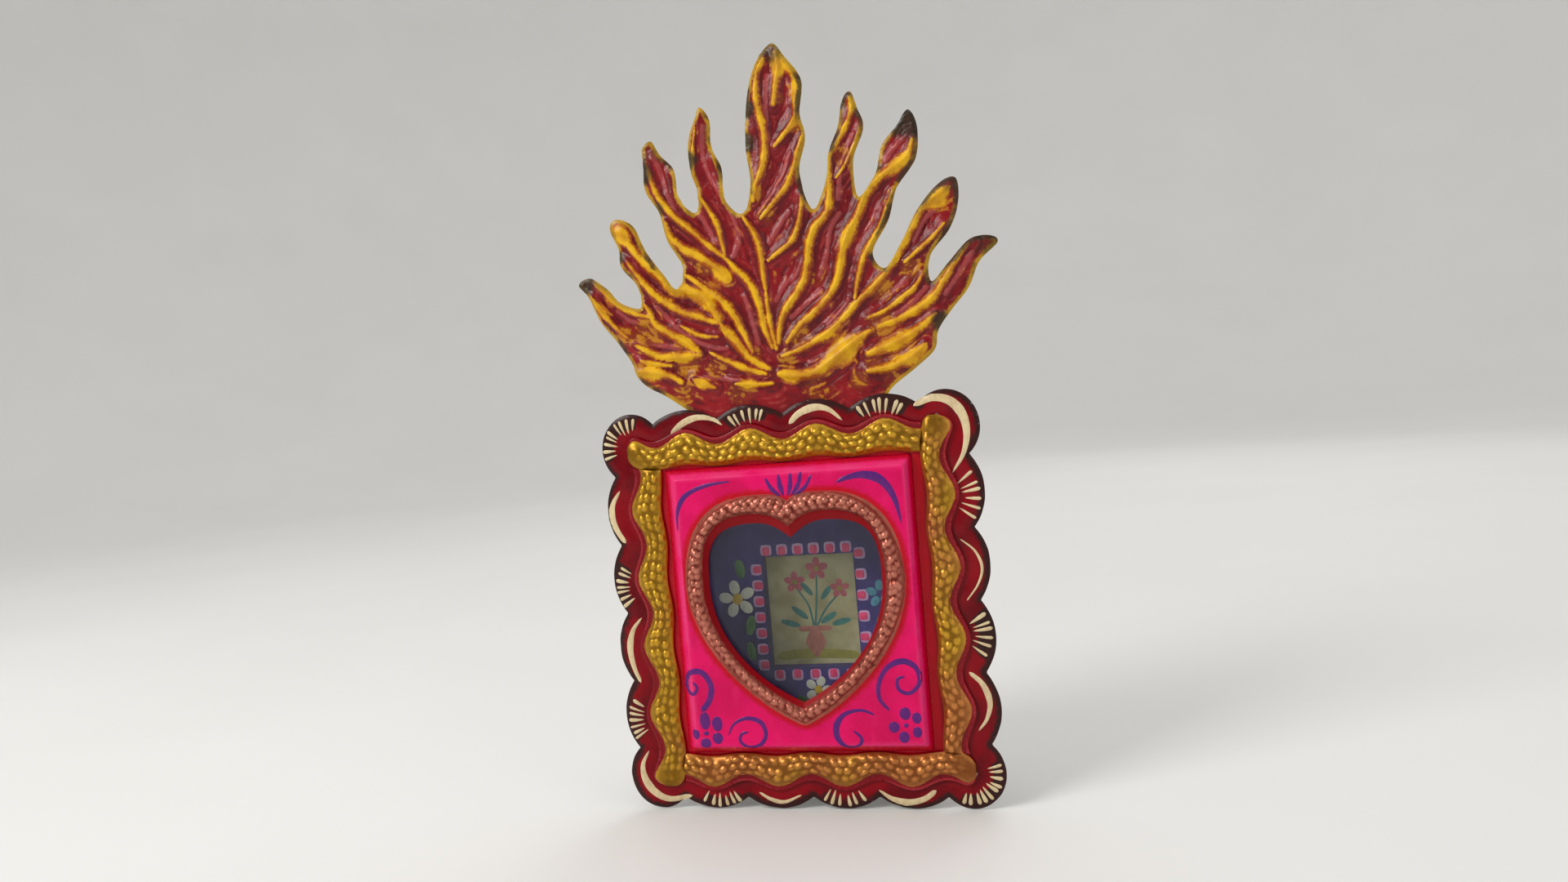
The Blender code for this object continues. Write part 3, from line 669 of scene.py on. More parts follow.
def stroke_rings(points, widths, thickness):
    """Rings of (x, z, height over the sheet) along one stroke."""
    line = smooth_line(points, STROKE_STEP) if len(points) > 2 else even_line(points, STROKE_STEP / 2)
    half = stroke_width(line, widths)
    ahead = np.gradient(line, axis=0)
    ahead /= np.hypot(*ahead.T)[:, None]
    aside = np.stack([-ahead[:, 1], ahead[:, 0]], axis=1)
    rings = []
    for middle, side, reach in zip(line, aside, half):
        full = thickness * min(1.0, reach / FULL_PAINT)
        ring = [
            (*(middle + side * reach * u), full * (1 - u * u) - PAINT_SUNK * u * u) for u in LENS_ACROSS
        ]
        rings.append(ring + [(*middle, -2 * PAINT_SUNK)])
    return rings


def brushed(name, strokes, lift, finish, thickness=STROKE_THICKNESS, body="nicho"):
    """One piece from many strokes of a colour; lift(points) is the sheet's height under them."""
    points, faces = capped_tubes([stroke_rings(line, widths, thickness) for line, widths in strokes])
    height = lift(points[:, :2]) + points[:, 2]
    placed = np.stack([points[:, 0], height, points[:, 1]], axis=1)
    piece = add_piece(name, placed, faces, [finish], body)
    face_outward(piece.data)
    print(name, len(strokes), "strokes,", len(faces), "faces")


def oval(x, z, width, height, turn=0.0):
    """A dot of paint, as a stroke along its height; turn is in degrees."""
    angle = radians(turn + 90)
    reach = Vector((cos(angle), sin(angle))) * height / 2
    return ([(x - reach.x, z - reach.y), (x + reach.x, z + reach.y)], (width, 2.0))


def fuller(strokes, factor):
    """The same strokes with a fuller brush."""
    return [(line, tuple(factor * width for width in widths)) for line, widths in strokes]


print("a dot of paint has", len(stroke_rings(*oval(0.0, 0.0, 2.0, 2.0), STROKE_THICKNESS)), "rings")

# %% [markdown]
# Brushed enamel is never one colour. Two close tones alternate in the streaks that the hairs leave, the
# streaks stand up a little, and the gloss is cloudy. Every stroke colour on the piece uses this recipe.

# %% Brush paint


def brush_paint(name, first, second, roughness=0.3):
    """Hand-brushed enamel: streaks of two close tones and a soft, cloudy gloss."""
    finish = Finish(name, gloss(0.1, 0.12, 0.25))
    streak = finish.grain(0.9, 4.0, (1.0, 1.0, 0.5))
    cloud = finish.grain(6.0, 3.0)
    tone = finish.mix(finish.fade(0.6 * streak + 0.4 * cloud, 0.38, 0.62), first, second)
    relief = finish.bump(streak, 0.05, 0.6)
    return finish.drive({"Base Color": tone, "Roughness": roughness + 0.15 * cloud, "Normal": relief})


CREAM = brush_paint("cream_strokes", paint(222, 203, 160), paint(206, 182, 142))
PURPLE = brush_paint("purple_strokes", paint(80, 24, 112), paint(98, 24, 114))
print("brush finishes:", CREAM.name, PURPLE.name)

# %% [markdown]
# ## The scalloped frame
# The front sheet has four scallops to a side and a round lobe at each corner. It is flat under the strips,
# and its lobes are dapped a little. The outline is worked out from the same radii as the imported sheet, and
# the snips wander slightly inside it.

# %% Outline of the frame
SCALLOPS = 4
SCALLOP_RISE = 3.0
LOBE_X = 8.2
LOBE_Z = 9.0
SNIP_WANDER = 0.22
SNIP_LENGTH = 6.0


def scallop_reach():
    """Half lengths of the rows of scallops along the ends and the sides."""
    lift_x = 1 - SCALLOP_RISE / LOBE_X
    lift_z = 1 - SCALLOP_RISE / LOBE_Z
    along_x = HALF_X - LOBE_X * (1 + sqrt(1 - lift_z ** 2))
    along_z = HALF_Z - LOBE_Z * (1 + sqrt(1 - lift_x ** 2))
    return along_x, along_z


def scallop_row(half, steps=16):
    """(place along the row, height over the notches) for one row of scallops."""
    chord = half / SCALLOPS
    radius = (chord ** 2 + SCALLOP_RISE ** 2) / (2 * SCALLOP_RISE)
    places = [(k, chord * (2 * s / steps - 1)) for k in range(SCALLOPS) for s in range(steps)]
    return [
        (chord * (2 * k + 1) - half + e, sqrt(radius ** 2 - e ** 2) - radius + SCALLOP_RISE)
        for k, e in places
    ]


def scalloped_outline(corner_steps=28):
    """Clockwise from the top left notch."""
    along_x, along_z = scallop_reach()
    lobe_x = HALF_X - LOBE_X
    lobe_z = HALF_Z - LOBE_Z
    notch_x = HALF_X - SCALLOP_RISE
    notch_z = HALF_Z - SCALLOP_RISE
    start = atan2((notch_z - lobe_z) / LOBE_Z, (along_x - lobe_x) / LOBE_X)
    end = atan2((along_z - lobe_z) / LOBE_Z, (notch_x - lobe_x) / LOBE_X)
    turns = np.linspace(start, end, corner_steps + 1)
    lobe = np.stack([lobe_x + LOBE_X * np.cos(turns), lobe_z + LOBE_Z * np.sin(turns)], axis=1)
    top = np.array([(s, notch_z + h) for s, h in scallop_row(along_x)])
    side = np.array([(notch_x + h, -s) for s, h in scallop_row(along_z)])
    forth = lobe[:-1]
    back = lobe[:0:-1]
    flip_x = np.array((-1.0, 1.0))
    flip_z = np.array((1.0, -1.0))
    return np.concatenate([top, forth, side, back * flip_z, -top, -forth, -side, back * flip_x])


def snipped(outline):
    """The outline as cut by hand, which wanders a little inwards."""
    wander = SNIP_WANDER * hammer(outline, SNIP_LENGTH, seed=3.0)
    return outline * (1 - np.abs(wander)[:, None] / np.hypot(*outline.T)[:, None])


frame_outline = snipped(scalloped_outline())
print("frame outline of", len(frame_outline), "points")

# %% [markdown]
# Cream strokes decorate each lobe in turn: a crescent, or a fan of short dashes. The crescents are listed
# one by one. A fan is a list entry: its middle, the angles it spans, its dashes, its radii and how dark the
# brown glaze behind it is.

# %% Strokes on the frame
CRESCENTS = [
    ([(-29.2, 45.4), (-26.0, 48.0), (-22.0, 49.3), (-18.0, 48.6), (-15.4, 46.9)], (1.3, 1.7, 0.5)),
    ([(1.8, 45.9), (4.5, 48.3), (8.5, 49.5), (12.0, 48.7), (15.2, 45.8)], (1.2, 1.9, 0.5)),
    ([
        (32.8, 48.0), (37.5, 49.5), (41.5, 48.5), (44.2, 45.2), (45.0, 40.5), (43.8, 35.5), (40.8, 31.0),
    ], (1.2, 2.3, 0.4)),
    ([(41.5, 15.0), (44.8, 12.0), (46.2, 8.0), (45.0, 4.0), (42.0, 0.0)], (0.3, 0.7, 0.3)),
    ([(41.2, -17.5), (44.2, -20.5), (45.6, -25.0), (44.6, -29.0), (42.4, -32.0)], (0.9, 1.5, 0.4)),
    ([(16.8, -46.6), (20.0, -48.8), (24.0, -49.7), (28.0, -48.8), (31.0, -46.7)], (0.5, 1.7, 1.1)),
    ([(-14.0, -47.2), (-11.0, -49.0), (-7.5, -49.7), (-3.0, -47.9)], (0.5, 1.1, 0.4)),
    ([
        (-42.8, -36.2), (-44.8, -40.0), (-44.4, -44.0), (-42.0, -47.3), (-38.0, -49.0), (-32.0, -48.1),
    ], (0.4, 2.0, 1.0)),
    ([(-41.5, -1.2), (-44.2, -4.5), (-45.4, -9.0), (-44.8, -14.0), (-43.3, -18.2)], (0.4, 1.7, 0.9)),
    ([(-44.3, 32.0), (-46.6, 28.5), (-47.0, 25.0), (-45.9, 21.5), (-44.0, 18.4)], (0.5, 1.7, 1.2)),
]
FANS = [
    ((-40.1, 42.5), (82.0, 196.0), 9, (8.0, 4.3), 1.0),
    ((-8.0, 40.5), (126.0, 70.0), 6, (10.2, 6.6), 0.95),
    ((24.5, 40.0), (120.0, 56.0), 7, (10.7, 6.8), 0.95),
    ((38.0, 25.4), (36.0, -34.0), 6, (9.5, 5.0), 0.35),
    ((38.4, -8.2), (34.0, -36.0), 6, (9.2, 4.8), 0.7),
    ((39.8, -42.5), (18.0, -108.0), 10, (8.0, 4.6), 0.95),
    ((8.0, -41.0), (-58.0, -124.0), 6, (10.0, 6.4), 0.55),
    ((-24.0, -41.0), (-60.0, -118.0), 6, (10.2, 6.6), 0.65),
    ((-38.5, -28.0), (146.0, 214.0), 7, (9.2, 5.2), 0.5),
    ((-38.5, 7.0), (146.0, 214.0), 7, (9.4, 5.4), 0.85),
]
DASH_WIDTHS = (1.0, 0.85, 0.3)
DASH_SLIP = 0.18
DASH_REACH = (-0.35, 0.1)
DASH_ROOT = (-0.5, 0.5)
DASH_SWELL = (0.75, 1.25)
GLAZE_SIDES = (2.0, 14.0)
GLAZE_RISE = (-0.2, 1.6)
hand = random.Random(11)


def fan_strokes():
    """Dashes from the rim towards the middle of each fan, none of them quite like the next."""
    strokes = []
    for (x, z), (start, end), count, (outer, inner), _ in FANS:
        for k in range(count):
            slip = hand.uniform(-DASH_SLIP, DASH_SLIP)
            angle = radians(start + (end - start) * (k + slip) / (count - 1))
            reach = outer + hand.uniform(*DASH_REACH)
            root = inner + hand.uniform(*DASH_ROOT)
            swell = hand.uniform(*DASH_SWELL)
            ends = [(x + r * cos(angle), z + r * sin(angle)) for r in (reach, root)]
            strokes.append((ends, tuple(width * swell for width in DASH_WIDTHS)))
    return strokes


def fan_glaze(points):
    """How dark the brown glaze is behind the dashes of each fan, 0 to 1."""
    glaze = np.zeros(len(points))
    for (x, z), (start, end), _, (_, inner), depth in FANS:
        offset = points - (x, z)
        angle = np.degrees(np.arctan2(offset[:, 1], offset[:, 0]))
        middle = (start + end) / 2
        away = np.abs((angle - middle + 180) % 360 - 180) - abs(end - start) / 2
        spread = 1 - smoothstep(away, *GLAZE_SIDES)
        near, far = [inner + edge for edge in GLAZE_RISE]
        shade = depth * spread * smoothstep(np.hypot(*offset.T), near, far)
        glaze = np.maximum(glaze, shade)
    return glaze


print(len(CRESCENTS), "crescents and", len(FANS), "fans")

# %% [markdown]
# Crimson enamel covers the sheet. Along the rim a brown-black glaze is brushed over it, deeper behind the
# fans, and small chips at the very edge show tin. Next to the tray the red is painted brighter, as painted
# light in the narrow groove that would otherwise lie in shade. The gloss comes from the coat, and a slow
# unevenness in the brushing breaks up what it mirrors.

# %% Crimson enamel


def crimson_enamel():
    finish = Finish("crimson_enamel", gloss(0.06, 0.06, 0.14))
    cloud = finish.grain(11.0, 4.0)
    brush = finish.grain(1.3, 4.0, twist=0.6)
    rim = finish.mark("rim")
    glaze = finish.mark("glaze")
    seam = finish.mark("seam")
    red = finish.mix(finish.fade(cloud, 0.35, 0.68), paint(136, 1, 18), paint(98, 0, 11))
    # Painted light: the red is brightened next to the tray, where the narrow groove would otherwise lie in
    # shade.
    red_lit_near_tray = finish.mix(finish.fade(seam, 3.2, 1.2), red, paint(190, 1, 26))
    streaked = finish.mix(finish.fade(brush, 0.6, 0.8) * 0.25, red_lit_near_tray, paint(176, 20, 36))
    edge = finish.fade(rim + 2.0 * (brush - 0.5) + 3.0 * (cloud - 0.5), 2.0, 0.7)
    dark = edge.higher(finish.fade(glaze + 0.5 * (brush - 0.5), 0.3, 0.62))
    shaded = finish.mix(dark * 0.93, streaked, paint(40, 24, 22))
    chip = finish.fade(finish.grain(1.1, 3.0), 0.68, 0.72) * finish.fade(rim, 0.5, 0.15)
    tone = finish.mix(chip, shaded, paint(150, 146, 138))
    rough = 0.17 + 0.1 * brush + 0.08 * dark
    relief = finish.bump(0.9 * cloud + 0.1 * brush, 0.14, 0.5)
    links = {"Base Color": tone, "Roughness": rough, "Metallic": 0.8 * chip, "Normal": relief}
    return finish.drive(links)


CRIMSON = crimson_enamel()
print("frame paint:", CRIMSON.name)

# %% [markdown]
# The sheet is cut to the outline, with an opening that the tray fills. Its lobes swell a little, its edge
# rolls over, and slight dents break the flatness. The strokes use the same height function, so they lie
# on the sheet. Three marks steer the enamel: the way to the rim, the glaze of the fans and the way to the
# tray, near which the red is brightened as painted light.

# %% Frame skin and its strokes
FRAME_STEP = 0.62
LOBE_DOME = 0.34
DOME_WIDTH = 5.0
EDGE_ROLL = 0.22
EDGE_WIDTH = 0.6
FRAME_DENT = 0.07
FRAME_DENT_SIZE = 5.0
DENT_REACH = 6.0
DENT_FADE = 2.0
RIM_STEP = 0.12
RIM_LIMIT = 8.0
PAINTED_SEAM = 0.05
CRESCENT_BRUSH = 1.15
rim_samples = ring_line(frame_outline, RIM_STEP)
opening_x = PANEL_X + GAP
opening_z = PANEL_Z + GAP
hole_x = PANEL_X + PAINTED_SEAM
hole_z = PANEL_Z + PAINTED_SEAM
opening = np.array([(-hole_x, hole_z), (hole_x, hole_z), (hole_x, -hole_z), (-hole_x, -hole_z)])


def frame_lift(points):
    """Height of the front sheet: dapped lobes, an edge that rolls over and slight dents."""
    to_rim, _ = nearest(points, rim_samples)
    dome = LOBE_DOME * np.sin(pi * np.clip(to_rim / DOME_WIDTH, 0.0, 1.0))
    roll = EDGE_ROLL * np.clip(1 - to_rim / EDGE_WIDTH, 0.0, 1.0) ** 2
    near_rim = np.clip((DENT_REACH - to_rim) / DENT_FADE, 0.0, 1.0)
    return dome - roll + FRAME_DENT * hammer(points, FRAME_DENT_SIZE, seed=1.0) * near_rim


def scalloped_frame():
    flat, faces = cut_sheet([frame_outline, opening], FRAME_STEP)
    to_rim, _ = nearest(flat, rim_samples)
    base = np.stack([flat[:, 0], frame_lift(flat), flat[:, 1]], axis=1)
    to_panel = np.maximum(np.abs(flat[:, 0]) - opening_x, np.abs(flat[:, 1]) - opening_z)
    # seam, the way to the tray, steers the painted light that brightens the red in the groove by the tray.
    marks = {"rim": np.minimum(to_rim, RIM_LIMIT), "glaze": fan_glaze(flat), "seam": to_panel}
    pressed("scalloped_frame_skin", base, faces, 0.0, marks, CRIMSON)
    brushed("frame_crescents", fuller(CRESCENTS, CRESCENT_BRUSH), frame_lift, CREAM)
    brushed("frame_dashes", fan_strokes(), frame_lift, CREAM)
    print("frame skin of", len(faces), "front triangles")


scalloped_frame()

# %% [markdown]
# ## The beaded strips
# Each strip is a narrow band with a rounded ridge down its middle. Three staggered rows of beads were
# punched up along the ridge. The paint comes first. It is gold on the ridge, with a painted highlight on the
# beads and painted shade between them, and redder towards the lower right. The margin is crimson, with a
# painted highlight along its rolled line.

# %% Gold paint


def gold_paint():
    finish = Finish("gold_paint", gloss(0.08, 0.2, 0.2))
    across = finish.mark("across")
    bead = finish.mark("bead")
    cloud = finish.grain(15.0, 3.0)
    fine = finish.grain(0.8, 4.0)
    sideways = finish.node("ShaderNodeSeparateXYZ", None, {0: finish.place()}, "X")
    height = finish.node("ShaderNodeSeparateXYZ", None, {0: finish.place()}, "Z")
    warm = finish.fade(cloud + 3.5 * sideways - 4.0 * (height - MIDDLE_Z), 0.42, 0.74)
    # Painted light: the gold is lighter on top of the beads as a painted highlight and darker between them
    # as painted shade.
    light = finish.mix(warm, paint(206, 158, 46), paint(204, 132, 70))
    gold_in_bead_shade = finish.mix(warm, paint(128, 90, 14), paint(130, 72, 30))
    gold_bead_light_and_shade = finish.fade(bead + 0.5 * (fine - 0.5), -0.1, 0.85)
    gold = finish.mix(gold_bead_light_and_shade, gold_in_bead_shade, light)
    past = (across - 1.0) * 3.0 + 0.5 * (fine - 0.5)
    margin = finish.fade(past, -0.05, 0.25)
    red = finish.mix(cloud, paint(140, 2, 20), paint(106, 0, 13))
    # A painted highlight along the rolled line of the crimson margin, where its edge would catch the light.
    bend_highlight = finish.fade(finish.mark("line"), 0.25, 0.7) * finish.fade(cloud + 0.4 * fine, 0.62, 0.8)
    lined = finish.mix(bend_highlight * 0.5, red, paint(180, 50, 58))
    tone = finish.mix(margin, gold, lined)
    rough = 0.29 + 0.14 * fine - 0.08 * margin
    grain = finish.bump(fine, 0.06, 0.5)
    metal = 0.72 - 0.72 * margin
    return finish.drive({"Base Color": tone, "Roughness": rough, "Metallic": metal, "Normal": grain})


GOLD = gold_paint()
print("strip paint:", GOLD.name)

# %% [markdown]
# Beads punched by hand are never quite in line or equally high, so each one gets a slip and a share of the
# full height. A bump in the material would be quicker, but it is flat from the side, and these stand up.
# Places on a strip are counted along it, and out from the middle of its ridge.

# %% Sizes and beads of the strips
STRIP_OFFSETS = {"end": 3.8, "side": 4.6}
STRIP_RIDGE = 3.2
STRIP_INNER = {"top": -3.3, "right": -2.2, "bottom": -3.3, "left": -3.3}
STRIP_OUTER = 4.8
STRIP_OVERRUN = 5.0
STRIP_SEAM = 0.08
STRIP_STEP = 0.26
INNER_WAVE = 0.4
OUTER_WAVE = 1.3
BEAD_ROWS = (0.6, 0.03, -0.55)
BEAD_PITCH = 2.5
BEAD_START = 0.6
BEAD_SLIP = (0.45, 0.35)
BEAD_SHARE = (0.55, 1.0)
BEAD_RADIUS = 1.25
BEAD_SQUASH = 1.3
BEAD_RISE = 0.62
FIRST_BEAD = 1.0
SMOOTH_END = (2.5, 7.0)
SMOOTH_SHARE = 0.25


def strip_beads(low, high, inner, stagger):
    """(along, out, share of the full height) of the punched beads, none of them quite in line."""
    slip_along, slip_out = BEAD_SLIP
    beads = []
    for row, share in enumerate(BEAD_ROWS):
        middle = share * (STRIP_RIDGE if share > 0 else -inner)
        for k in range(int((high - low) / BEAD_PITCH)):
            station = low + BEAD_PITCH * (k + BEAD_START + stagger * (row % 2))
            along = station + hand.uniform(-slip_along, slip_along)
            out = middle + hand.uniform(-slip_out, slip_out)
            beads.append((along, out, hand.uniform(*BEAD_SHARE)))
    return np.array(beads)


def punched_beads(places, crown, low, beads):
    """How far the metal is punched up, 0 to 1; the rounded end of a strip is nearly smooth."""
    squash = (1.0, BEAD_SQUASH)
    apart, which = nearest(places * squash, beads[:, :2] * squash)
    beaten = SMOOTH_SHARE + (1 - SMOOTH_SHARE) * smoothstep(places[:, 0] - low, *SMOOTH_END)
    dome = np.clip(1 - (apart / BEAD_RADIUS) ** 2, 0.0, 1.0)
    return dome * np.sqrt(crown) * beads[which, 2] * beaten


print(len(BEAD_ROWS), "rows of beads, one every", BEAD_PITCH, "mm")

# %% [markdown]
# A strip is a grid of points, with stations along it and rows across it. The ridge, the rolled line and the
# beads are heights on that grid. The edges wave with the scallops. One end is rounded and covers a corner
# of the front. The other follows the wavy inner edge of the next strip, so the four close a ring.

# %% Strip skins
INNER_MARGIN = 0.1
RIDGE_HEIGHT = 1.15
RIDGE_ROUND = 0.55
RIDGE_WOBBLE = 0.06
WOBBLE_LENGTH = 7.0
RIDGE_DENT = 0.12
RIDGE_DENT_SIZE = 3.0
SCALLOP_SWELL = 0.14
ROLLED_LINE = 4.4
ROLL_WIDTH = 0.3
ROLL_HEIGHT = 0.16
END_ROUND = 3.6
END_WIDTH = 0.14
END_BULB = 0.18
BULB_LENGTH = 3.5
END_FALL = 1.6
END_SHARE = 0.5
END_FOLLOW = 5.0
MARGIN_TONE = 0.7


def across_ridge(along, out, inner, low, wave, seed):
    """How far across the ridge a point is: 0 on its middle line and 1 at its foot."""
    wobble = RIDGE_WOBBLE * hammer(np.stack([along, 0 * along], axis=1), WOBBLE_LENGTH, seed)
    bulb = END_BULB * np.exp(-((along - low - END_ROUND) / BULB_LENGTH) ** 2)
    outward = STRIP_RIDGE * (1 + wobble + bulb - SCALLOP_SWELL * wave)
    inward = -(inner + INNER_MARGIN) * (1 + wobble)
    return np.abs(out) / np.where(out > 0, outward, inward)


def beaded_strip(side, next_side, row, next_row, stagger, put):
    """One strip; a row is (offset, scallop length), and put(along, out) is a place on the front."""
    inner = STRIP_INNER[side]
    offset, scallop = row
    reach, next_scallop = next_row
    low = -reach - STRIP_OVERRUN
    high = reach + STRIP_INNER[next_side] - STRIP_SEAM
    stations = np.linspace(low, high, int((high - low) / STRIP_STEP))
    widths = np.linspace(inner, STRIP_OUTER, int((STRIP_OUTER - inner) / STRIP_STEP))
    along, out = [axis.ravel() for axis in np.meshgrid(stations, widths, indexing="ij")]
    next_wave = INNER_WAVE * np.cos(2 * pi * (offset + out) / next_scallop)
    along = along - next_wave * smoothstep(along, high - END_FOLLOW, high)
    share = (out - inner) / (STRIP_OUTER - inner)
    swing = INNER_WAVE + (OUTER_WAVE - INNER_WAVE) * share
    from_end = np.clip((along - low) / END_ROUND, 0.0, 1.0)
    pinch = np.sqrt(1 - (1 - from_end) ** 2)
    wave = np.cos(2 * pi * along / scallop)
    across = across_ridge(along, out, inner, low, wave, offset + reach)
    crown = np.clip(1 - across ** 2, 0.0, 1.0) ** RIDGE_ROUND
    rolled = np.exp(-((out - ROLLED_LINE) / ROLL_WIDTH) ** 2)
    falling = np.sqrt(np.clip((high - along) / END_FALL + END_SHARE, 0.0, 1.0))
    places = np.stack([along, out], axis=1)
    dented = 1 + RIDGE_DENT * hammer(places, RIDGE_DENT_SIZE, seed=reach)
    lift = GAP + TIN + pinch * (RIDGE_HEIGHT * crown * falling * dented + ROLL_HEIGHT * rolled)
    x, z = put(along, offset + out * np.maximum(pinch, END_WIDTH) - swing * wave)
    bead = punched_beads(places, crown, low, strip_beads(low + FIRST_BEAD, high, inner, stagger))
    faces = grid_faces(len(stations), len(widths))
    base = np.stack([x, lift, z], axis=1)
    # The bead mark steers the painted highlight and shade of the gold. Off the ridge it is held at
    # MARGIN_TONE.
    marks = {"across": across, "bead": np.maximum(bead, MARGIN_TONE * (1 - crown)), "line": rolled}
    name = f"beaded_strip_{side}_skin"
    pressed(name, base, faces, BEAD_RISE * bead, marks, GOLD)
    print(name, len(stations), "stations,", len(faces), "front faces")


def beaded_strips():
    along_x, along_z = scallop_reach()
    ends = (opening_z + STRIP_OFFSETS["end"], 2 * along_x / SCALLOPS)
    sides = (opening_x + STRIP_OFFSETS["side"], 2 * along_z / SCALLOPS)
    beaded_strip("top", "right", ends, sides, 0.5, lambda a, o: (a, o))
    beaded_strip("right", "bottom", sides, ends, 0.4, lambda a, o: (o, -a))
    beaded_strip("bottom", "left", ends, sides, 0.5, lambda a, o: (-a, -o))
    beaded_strip("left", "top", sides, ends, 0.2, lambda a, o: (-o, a))


beaded_strips()

# %% [markdown]
# ## The heart panel
# The raised panel is a tray with sloping sides. The heart is cut out of it, with a beaded ridge round it
# and a lip turned in to the glass. The heart is three curves, mirrored. Each curve has a start, an end and
# two handles, which are given in shares of the heart's half width.

# %% Shape of the heart
HEART_HALF = PANEL_X - 6.05
HEART_TOP = PANEL_Z - 9.75
HEART_TIP = -PANEL_Z + 10.05
CLEFT_DEPTH = 2.7
SHOULDER_DROP = 19.6
CLEFT_GROWTH = 1.4
TIP_GROWTH = 0.9
HEART_POINTS = 300
BEND_POINTS = 60
LOBE_PLACE = 0.36
HEART_SHIFT = 0.35
FACE_INSET = 2.6
FACE_SHIFT = 0.8
TRAY_SQUARENESS = 110


def heart(offset, count=HEART_POINTS):
    """Points clockwise from the cleft, grown or shrunk by an offset from the middle of the ridge."""
    cleft = Vector((0.0, HEART_TOP - CLEFT_DEPTH + CLEFT_GROWTH * offset))
    lobe = Vector((LOBE_PLACE * HEART_HALF, HEART_TOP + offset))
    shoulder = Vector((HEART_HALF + offset, HEART_TOP - SHOULDER_DROP))
    tip = Vector((0.0, HEART_TIP - TIP_GROWTH * offset))
    bends = [
        (cleft, (0.11, 0.09), (-0.16, 0.0), lobe),
        (lobe, (0.46, 0.0), (0.0, 0.44), shoulder),
        (shoulder, (0.0, -0.59), (0.43, 0.2), tip),
    ]
    dense = []
    for start, leave, arrive, end in bends:
        handles = (start + HEART_HALF * Vector(leave), end + HEART_HALF * Vector(arrive))
        dense += interpolate_bezier(start, *handles, end, BEND_POINTS)[:-1]
    half = resampled(np.array([tuple(p) for p in dense + [tip]]), count + 1)
    return np.concatenate([half, half[-2:0:-1] * (-1.0, 1.0)]) + (HEART_SHIFT, 0.0)


def panel_loop(inset):
    """The tray's outline, with one point in the direction of each point of the heart."""
    points = heart(0.0)
    halves = np.array((PANEL_X - inset, PANEL_Z - inset))
    power = (np.abs(points / halves) ** TRAY_SQUARENESS).sum(axis=1)
    return points / power[:, None] ** (1 / TRAY_SQUARENESS) + (FACE_SHIFT * inset / FACE_INSET, 0.0)


print(f"heart ridge {2 * HEART_HALF:.1f} mm wide, {HEART_TOP - HEART_TIP:.1f} mm tall")

# %% [markdown]
# Pink enamel fills the tray. Its slopes and the seam round the heart are glazed red. The ridge is a
# rose-copper paint, with painted shade between the beads and a painted highlight on top, and the lip is
# plain red. A painted highlight also runs along the tray's bend. Four marks steer it: the way from the
# ridge's middle, the red glaze, the nearness to the tray's bend, and the beads.

# %% Panel enamel


def panel_enamel():
    finish = Finish("panel_enamel", gloss(0.05, 0.1, 0.14))
    band = finish.mark("band")
    glaze = finish.mark("glaze")
    bead = finish.mark("bead")
    cloud = finish.grain(13.0, 3.0)
    brush = finish.grain(1.1, 4.0, twist=0.4)
    wash = finish.grain(2.6, 4.0, (1.0, 1.0, 0.35))
    pink = finish.mix(finish.fade(cloud, 0.36, 0.66), paint(228, 8, 98), paint(206, 2, 84))
    washed = finish.mix(finish.fade(wash, 0.56, 0.8) * 0.35, pink, paint(240, 44, 116))
    # A painted highlight in patches along the tray's bend.
    wear_and_bend_highlight = finish.mark("bend") * finish.fade(cloud, 0.25, 0.6) * 0.6
    bend_highlight = finish.mix(wear_and_bend_highlight, washed, paint(248, 76, 140))
    slope = finish.fade(glaze + 0.6 * (brush - 0.5), 0.2, 0.8)
    sloped = finish.mix(slope * 0.92, bend_highlight, paint(190, 2, 34))
    seam = finish.fade(band + 1.2 * (brush - 0.5), 4.4, 3.0)
    outlined = finish.mix(seam * 0.92, sloped, paint(190, 4, 20))
    ridge = finish.fade(band + 0.5 * (brush - 0.5), 2.6, 2.25)
    # Painted light on the ridge: a painted highlight on the beads and painted shade between them.
    ridge_bead_light_and_shade = finish.fade(bead + 0.6 * (brush - 0.5), 0.05, 0.9)
    rose_in_bead_shade = finish.mix(cloud, paint(112, 40, 33), paint(126, 54, 44))
    copper = finish.mix(ridge_bead_light_and_shade, rose_in_bead_shade, paint(202, 124, 104))
    beaded = finish.mix(ridge, outlined, copper)
    lip = finish.fade(band + 0.35 * (brush - 0.5), -1.9, -2.3)
    tone = finish.mix(lip, beaded, paint(146, 6, 18))
    metal = ridge * (1 - lip) * 0.7
    rough = 0.22 + 0.12 * brush + 0.04 * ridge
    relief = finish.bump(0.8 * cloud + 0.2 * brush, 0.12, 0.5)
    return finish.drive({"Base Color": tone, "Roughness": rough, "Metallic": metal, "Normal": relief})


PANEL_PAINT = panel_enamel()
print("tray paint:", PANEL_PAINT.name)

# %% [markdown]
# The tray's surface is a stack of loops with equally many points: up the skirt and the slope, round the
# bend, across the face to the heart, over its ridge and down the lip. So the rows of points follow the
# heart's line, as the beads do, where a boolean cut would leave thin slivers along it. The slope has its
# own profile, which the painted scrolls use as well.

# %% Loops of the panel
PANEL_RISE = 4.0
PANEL_SKIRT = 5.0
PANEL_SLOPE = 2.0
PANEL_KNEE = 3.4
SLOPE_STEPS = 5
HEART_RIDGE = 2.35
HEART_RIDGE_HEIGHT = 1.3
HEART_RIDGE_ROUND = 0.6
RIDGE_FOOT = 0.4
INNER_TILT = 0.25
LIP_EDGE = -3.35
LIP_LIFT = 2.8
LOBE_LIP = 1.3
LOBE_LIP_RAMP = (8.0, 20.0)
SKIRT_LOOPS = 4
FACE_LOOPS = 14
RIDGE_LOOPS = 22
LIP_LOOPS = 6
FAR_FROM_RIDGE = 9.0


